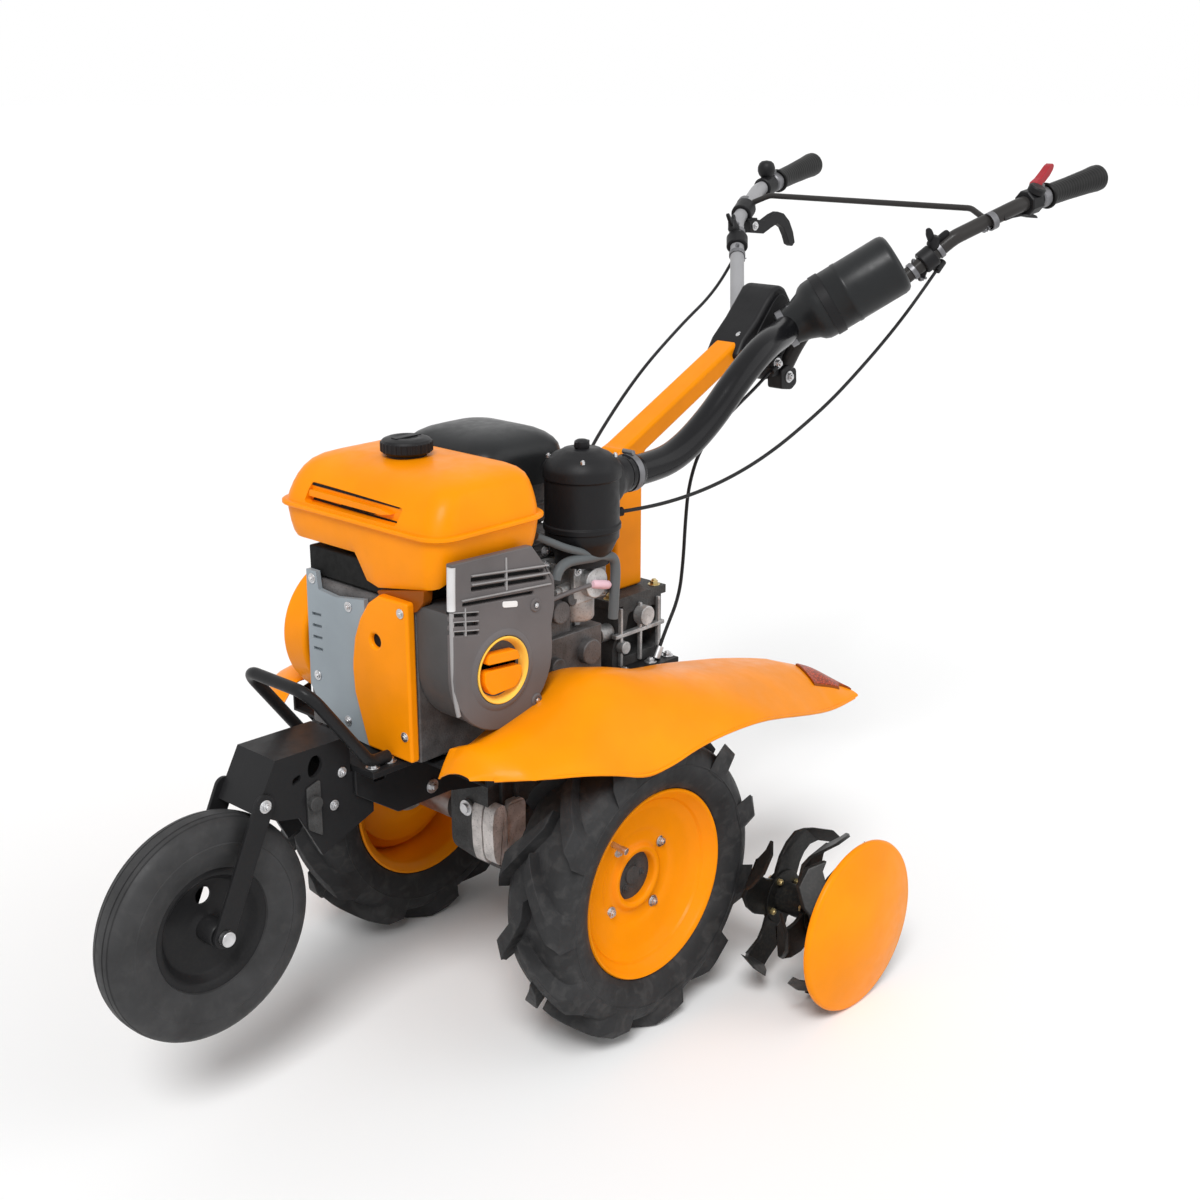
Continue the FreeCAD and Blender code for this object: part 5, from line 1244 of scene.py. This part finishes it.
def hoseAndCanister():
    wire("intakeHose", hosePoints, 20.5, "hoseRubber", 12, node="intake_hose")
    build("hoseCuff", "hoseRubber", [
        (lathed, [(-7, 19), (-6, 24), (18, 24), (22, 21.6), (22, 19)], (-126, 88, 690), (-1, 0, 0), 48),
    ], 0, 2, 40)
    along = (canisterHigh - canisterLow).normalized()
    start = canisterLow - along * 34
    bm = bmesh.new()
    length = (canisterHigh - canisterLow).length + 34
    lathed(bm, [(0, 0), (0, 24), (4, 26), (16, 28), (30, 31), (42, 36), (48, 41.5), (55, 44.4), (62, 45),
                (102, 45), (103, 45.8), (108, 45.8), (109, 45), (length - 12, 45), (length - 6, 43.6),
                (length - 2.4, 40.5), (length - 0.8, 36), (length, 30), (length, 0)], start, along, 96)
    finishPiece("airFilter", bm, "canister", 0, 2, 40, node="air_filter")
    build("hoseClamps", "darkSteel", [
        (hoseClamp, (-134, 88, 690), (-1, 0, 0), 24.3), (hoseClamp, start + along * 7, along, 27.6),
    ], 0.0004)
    build("canisterStrap", "satinBlack", [
        (lathed, [(-7, 44), (7, 44), (7, 46.6), (-7, 46.6)], canisterLow + along * 40, along, 64),
    ], 0.0004)


fuelTank()
fuelCap()
mufflerGuard()
recoilHousing()
recoilGrip()
frontCowl()
engineBlock()
beltCover()
print("engine is made")
carburettor()
intake()
hoseAndCanister()
print("intake is made")


# handle: column, mount, tubes' clamps, levers and grips
column = {"half": 20, "depth": 29, "upper": 14, "bend": (-212, 688), "end": (-461, 808.6), "foot": 500.4}
tubeBends = ((-522, 39.8, 754), (-717, 200, 956), (-822, 241, 997), (-1012, 268, 1030))
tubeRuns = {side: [Vector((x, y * side, z)) for x, y, z in tubeBends] for side in (1, -1)}


def tubeSpot(side, run, distance):
    points = tubeRuns[side]
    along = (points[run + 1] - points[run]).normalized()
    return points[run] + along * distance, along


def handleColumn():
    bm = bmesh.new()
    (bx, bz), (ex, ez), d = column["bend"], column["end"], column["depth"]
    run = Vector((ex - bx, ez - bz)).normalized()
    over = Vector((-run.y, run.x)) * column["upper"]
    outline = [(bx + d - 4, column["foot"]), (bx + d - 2, 560), (bx + d + 1, bz - 28), (bx + d - 3, bz - 6),
               (bx + d - 12, bz + 10), (bx - over.x, bz - over.y),
               (ex - over.x, ez - over.y), (ex + over.x, ez + over.y), (bx - d - 6, bz + 1),
               (bx - d, bz - 14), (bx - d, column["foot"])]
    prism(bm, outline, -column["half"], column["half"])
    finishPiece("handleColumn", bm, "orangePaint", 0.006, 4, 12, node="handle_column")
    build("columnBolts", "yellowZinc", [
        *[(boltAt, (x, y, 499.6), (0, 0, 1), 6, 6) for y in (34, -34) for x in (-250, -158)],
    ], 0.0005)
    softened("column_base", "columnBase", "darkCasting", 0.003, 3)
    build("columnBaseRibs", "castAlloy", [
        *[(block, (x, x + 5), (46, 52), (404, 488)) for x in (-244, -206, -166)],
        (block, (-252, -150), (44, 53), (446, 452)), (rod, (-206, 46, 470), (-206, 62, 470), 14, 32),
        (rod, (-160, 30, 452), (-136, 30, 452), 12, 32), (rod, (-166, 46, 432), (-166, 58, 432), 9, 24),
    ], 0.0015)


def handleMount():
    bm = bmesh.new()
    outline = [(-430, 796), (-446, 820), (-476, 846), (-500, 871), (-514, 886), (-528, 891), (-542, 886),
               (-556, 868), (-563, 840), (-564, 804), (-554, 774), (-528, 756), (-500, 754), (-470, 776)]
    prism(bm, outline, -31, 31)
    finishPiece("handleMount", bm, "satinBlack", 0.009, 5, 30, node="handle_mount", slot="black_paint")
    build("mountPlates", "blackPaint", [
        *[(prism, [(-462, 806), (-474, 828), (-494, 850), (-512, 870), (-528, 880), (-542, 872),
            (-552, 850), (-554, 826), (-553, 802), (-542, 780), (-520, 765), (-500, 766), (-476, 784)],
            low, high, 6) for low, high in ((29, 33.5), (-33.5, -29))],
    ], 0.0014, 3, 30)
    build("mountBolts", "zinc", [
        *[(boltAt, (x, face * 33.3, z), (0, face, 0), size, 6)
          for x, z, size in ((-522, 776, 8), (-534, 838, 6)) for face in (1, -1)],
        (boltAt, (-457, 14, 822), (0.8, 0, 0.6), 6, 5),
    ], 0.0005)
    softened("mount_block", "mountBlock", "blackPaint", 0.002, 3)
    build("mountBlockBolts", "zinc", [
        (boltAt, (-500, 50, 782), (0, 1, 0), 6, 6), (boltAt, (-500, 40, 791.6), (0, 0, 1), 5, 5),
        *[(boltAt, (-524, side * 54.6, 760), (0, side, 0), 6, 5) for side in (1, -1)],
    ], 0.0004)
    # a saddle clamps the foot of each tube to the mount
    saddle = [(-506, 744), (-504, 772), (-520, 778), (-542, 770), (-544, 748), (-532, 740)]
    build("tubeSaddles", "satinBlack", [
        (prism, saddle, low, high, 4) for low, high in ((29, 55), (-55, -29))
    ], 0.002, 3, 30, slot="black_paint")


def wingNut(bm, place, axis, across):
    # a hub with two rounded wings
    lathed(bm, [(0, 0), (0, 9), (3, 9.6), (10, 7.6), (15, 6.6), (16, 5), (16, 0)], place, axis, 32)
    for turn in (1, -1):
        wing = bmesh.new()
        prism(wing, [(3, 4), (9, 5), (17, 14), (21, 24), (15, 27), (9, 22), (3, 14)], -2.4, 2.4, 3)
        bmesh.ops.bevel(wing, geom=wing.edges[:], offset=0.0009, segments=2, affect="EDGES",
                        profile=0.5, material=-1)
        up = Vector(axis).normalized()
        out = (Vector(across) * turn - up * up.dot(Vector(across) * turn)).normalized()
        side = up.cross(out)
        frameMatrix = Matrix((out, side, up)).transposed().to_4x4()
        bmesh.ops.transform(wing, matrix=Matrix.Translation(Vector(place) / 1000) @ frameMatrix,
                            verts=wing.verts)
        absorb(bm, wing)


def leftTube():
    # the left tube rises steeply from its foot and runs behind the air filter
    first, second, third = (tubeSpot(1, run, 0)[1] for run in range(3))
    bends = tubeRuns[1]
    route = [(-522, 39.8, 754), (-537, 50, 798), (-560, 66, 836), (-597, 92, 862), (-634, 130, 878)]
    route += [tuple(bends[0] + first * d) for d in (226, 250, 290, 304)] + [tuple(bends[1])]
    route += [tuple(bends[1] + second * d) for d in (20, 50, 80)] + [tuple(bends[2])]
    route += [tuple(bends[2] + third * d) for d in (20, 60, 150)] + [tuple(bends[3] - third * 4)]
    wire("leftHandleTube", route, 11, "tubeDark", 20, node="left_handle_tube")


def handleClamps():
    bm = bmesh.new()
    steel = bmesh.new()
    for side, route in ((1, throttleRoute), (-1, clutchRoute)):  # each cable leaves from its clamp
        place, along = tubeSpot(side, 0, 264)
        lathed(bm, [(0, 11.3), (22, 11.3), (22, 15.6), (20.4, 17), (1.6, 17), (0, 15.6)], place, along, 48)
        middle = tubeSpot(side, 0, 275)[0]
        outward = Vector((0, side * 0.35, 1)).normalized()
        rod(bm, middle + outward * 12, middle + outward * 23, 7)
        wingNut(bm, middle + outward * 20, outward, along)
        rod(bm, middle - outward * 13, middle - outward * 27, 6, 20)
        start, after = (Vector(point) for point in route[:2])
        rod(bm, start, start + (start - after).normalized() * 18, 6)
        for distance in (244, 292):
            spot, along = tubeSpot(side, 0, distance)
            lathed(steel, [(0, 11.1), (7, 11.1), (7, 13), (0, 13)], spot, along, 40)
            boltAt(steel, spot + along * 3.5 + Vector((0, 0, 12.4)), (0, 0, 1), 3.6, 4, False)
        boltAt(steel, middle - outward * 27, -outward, 6, 5)
    finishPiece("wingClamps", bm, "satinBlack", 0.0006, node="wing_clamps")
    finishPiece("tubeBands", steel, "darkSteel", 0.0003)


def gripControls():
    bm = bmesh.new()
    steel = bmesh.new()
    for side in (1, -1):
        place, along = tubeSpot(side, 2, 15)
        if side > 0:
            lathed(bm, [(0, 11.3), (27, 11.3), (27, 17.4), (25, 19), (2, 19), (0, 17.4)], place, along, 8,
                   math.radians(22.5))
            housing = place + along * 13.5
            lathed(bm, [(0, 0), (0, 13), (8, 13), (10, 11), (10, 0)], housing + Vector((0, 8, 14)),
                   (0, 0.5, 1), 24)
            prism(bm, [(-788, 986), (-812, 991), (-838, 992), (-862, 985), (-884, 979), (-888, 975),
                       (-866, 977), (-840, 981), (-812, 980), (-790, 977)], 232, 240, 1.5)
        else:
            lathed(bm, [(0, 11.3), (27, 11.3), (27, 14.6), (25.6, 16), (1.4, 16), (0, 14.6)],
                   place, along, 48)
            lathed(bm, [(10, 0), (10, 8), (15, 9), (18, 12), (24, 14.4), (31, 14.4), (37, 12), (40.5, 8),
                        (42, 0)], place + along * 13.5, (0, 0, 1), 40)
        lathed(steel, [(48, 11.1), (62, 11.1), (64, 13.6), (64, 15.4), (50, 15.4), (48, 13)],
               tubeRuns[side][2], along, 48)
        boltAt(steel, tubeRuns[side][2] + along * 56 + Vector((0, 0, 14.6)), (0, 0, 1), 4.4, 5, False)
    finishPiece("gripCollars", bm, "satinBlack", 0.0006, node="grip_collars")
    for side in (1, -1):
        spot = Vector((-772, side * 221.5, 977.5))
        boltAt(steel, spot + Vector((6, 0, -8)), (0.5, 0, -1), 6, 6)
        lathed(steel, [(-5, 11.1), (5, 11.1), (5, 13.4), (-5, 13.4)], spot + Vector((0, side * 6, 0)),
               tubeRuns[side][2] - tubeRuns[side][1], 40)
    finishPiece("gripFerrules", steel, "darkSteel", 0.0003)
    for side, sideName in sides:
        start, end = Vector((-886, 250 * side, 1008)), Vector((-1018, 268.8 * side, 1031))
        length = (end - start).length
        build(f"{sideName}Grip", "gripRubber", [
            (lathed, [(0, 11.2), (0, 18), (1.6, 19.4), (4, 19.4), (6, 17.2), (12, 16.2),
                (length * 0.4, 16.8), (length * 0.75, 18.6), (length - 14, 20), (length - 6, 19.6),
                (length - 1.6, 16.6), (length, 11), (length, 0), (length - 8, 0), (length - 8, 11.2)],
                start, end - start, 64),
        ], 0, 2, 30, node=f"{sideName}_grip")


def handleLevers():
    place, along = tubeSpot(1, 2, 28)
    x, low = place.x - 11, place.z + 21.5
    build("redLever", "redPlastic", [
        (prism, [(x + 9, low - 4), (x - 8, low - 4), (x - 21, low + 5), (x - 35, low + 14),
            (x - 44, low + 23), (x - 46, low + 29), (x - 41, low + 32), (x - 33, low + 29),
            (x - 22, low + 21), (x - 8, low + 12), (x + 6, low + 6)], place.y - 5.5, place.y + 5.5, 2),
    ], 0.0028, 4, 30, node="red_lever")
    place, along = tubeSpot(-1, 1, 37)
    x, z, inside = place.x, place.z, place.y + 12
    build("clutchLever", "satinBlack", [
        (lathed, [(-15, 11.3), (15, 11.3), (15, 15.6), (13.6, 17), (-13.6, 17), (-15, 15.6)], place, along,
            48),
        (block, (x - 12, x + 12), (place.y, place.y + 20), (z - 31, z - 10)),
        (prism, [(x + 14, z - 14), (x - 4, z - 12), (x - 26, z - 15), (x - 46, z - 7), (x - 62, z - 3),
            (x - 78, z - 7), (x - 94, z - 20), (x - 105, z - 38), (x - 111, z - 56), (x - 104, z - 62),
            (x - 95, z - 58), (x - 88, z - 44), (x - 78, z - 30), (x - 62, z - 22), (x - 44, z - 28),
            (x - 24, z - 36), (x + 12, z - 32)], inside, inside + 12),
    ], 0.002, 3, 40, node="clutch_lever")
    build("leverBolts", "zinc", [
        (boltAt, (x, place.y + 24, z - 22), (0, 1, 0), 5, 4),
        (boltAt, (x, place.y + 2, z - 31), (0, 0, -1), 5, 4),
    ], 0.0004)


handleColumn()
handleMount()
leftTube()
handleClamps()
gripControls()
handleLevers()
print("handle is made")


# gearbox, frame and what is bolted to them
def gearboxDetails():
    softened("gearbox", "gearbox", "darkCasting", 0.004, 3)
    softened("frame", "frame", "blackPaint", 0.0015)
    softened("cable_stops", "cableStops", "zinc", 0.0006)
    bm = bmesh.new()
    for face in (1, -1):
        for x in (-52, -26, 28, 54):
            block(bm, (x, x + 5), sorted((face * 34, face * 41)), (242, 326))
        lathed(bm, [(0, 17), (0, 44), (5, 44), (9, 40), (9, 27), (70, 25), (72, 23), (72, 17)],
               (0, face * 35.5, 205), (0, face, 0), 64)
        lathed(bm, [(0, 16), (0, 31), (6, 31), (9, 28), (9, 16)], (-222, face * 27.5, 117), (0, face, 0), 56)
    finishPiece("gearboxRibs", bm, "darkCasting", 0.0014)
    # pale cast lugs beside the front of the case
    build("gearboxLugs", "castPale", [
        *[(prism, [(22, 196), (34, 188), (52, 192), (55, 212), (55, 262), (50, 270), (26, 270), (21, 262)],
            low, high, 5) for low, high in ((35, 46), (-46, -35))],
        *[(prism, [(60, 196 + drop), (68, 182 + drop), (78, 186 + drop), (84, 204), (86, 244), (82, 270),
            (64, 274), (58, 250)], low, high, 6) for low, high, drop in ((10, 28, 0), (31, 50, 4))],
    ], 0.0014)
    bm = bmesh.new()
    for face in (1, -1):
        for x, z in circle(6, 30, 36):
            boltAt(bm, (x, face * 40.4, 205 + z), (0, face, 0), 4.6, 4)
        for x, z in ((-72, 320), (0, 322), (72, 322), (-72, 240), (-110, 178), (-150, 150), (-190, 132)):
            reach = 36 if x > -80 else 28
            boltAt(bm, (x, face * reach, z), (0, face, 0), 4.6, 4)
        for x, z in ((-190, 380), (-80, 378), (90, 330), (180, 335), (262, 384)):
            boltAt(bm, (x, face * 41.4, z), (0, face, 0), 6.5, 5)
    lathed(bm, [(0, 0), (0, 11), (6, 11), (6, 7), (10, 7), (10, 0)], (81, 0, 260), (1, 0, 0), 24)
    finishPiece("gearboxBolts", bm, "zinc", 0.0004)


gearboxDetails()
print("gearbox is made")


# the frame's own parts that keep their shape get their finish
keptFinishes = {"right_handle_tube": "tubeGrey", "crossbar": "tubeDark"}
for entry in frame["record"]["subparts"]:
    node, slot = entry["node"], entry["material_slot"]
    materials = frame["nodes"][node].data.materials
    materials.clear()
    materials.append(finishes[keptFinishes.get(node, slotFinishes[slot][0])])
print("kept parts are finished")


# floor, light and background
stageSettings = {"floor": (0.9, 0.9, 0.9), "world": 0.52, "key": 2.3, "fill": 0.5}


def makeStage(settings):
    bm = bmesh.new()
    bmesh.ops.create_grid(bm, x_segments=1, y_segments=1, size=60)
    bmesh.ops.translate(bm, verts=bm.verts, vec=(0, 0, -0.0005))
    mesh = bpy.data.meshes.new("floor")
    bm.to_mesh(mesh)
    bm.free()
    floor = bpy.data.objects.new("floor", mesh)
    bpy.context.collection.objects.link(floor)
    material, tree, shader, place = nodeTree("floorPale")
    shader.inputs["Base Color"].default_value = (*settings["floor"], 1)
    shader.inputs["Roughness"].default_value = 0.9
    mesh.materials.append(material)
    world = bpy.data.worlds.new("studio")
    bpy.context.scene.world = world
    world.use_nodes = True
    tree = world.node_tree
    background = tree.nodes["Background"]
    background.inputs["Color"].default_value = (1, 1, 1, 1)
    path = tree.nodes.new("ShaderNodeLightPath")
    level = tree.nodes.new("ShaderNodeMapRange")
    level.inputs["To Min"].default_value = settings["world"]
    level.inputs["To Max"].default_value = 1
    seen = path.outputs["Is Camera Ray"]
    for ray in ("Is Glossy Ray", "Is Transmission Ray"):
        seen = mathNode(tree, "MAXIMUM", seen, path.outputs[ray])
    tree.links.new(seen, level.inputs["Value"])
    tree.links.new(level.outputs["Result"], background.inputs["Strength"])
    for name, place, strength, spread in (("key", (2.2, 1.6, 3.2), settings["key"], 24),
                                          ("fill", (-1.6, 2.6, 1.8), settings["fill"], 50)):
        lamp = bpy.data.lights.new(name, "SUN")
        lamp.energy = strength
        lamp.angle = math.radians(spread)
        lampObject = bpy.data.objects.new(name, lamp)
        bpy.context.collection.objects.link(lampObject)
        lampObject.location = place
        lampObject.rotation_euler = Vector(place).to_track_quat("Z", "Y").to_euler()
    bpy.context.scene.view_settings.view_transform = "Standard"


makeStage(stageSettings)
print("stage is set")
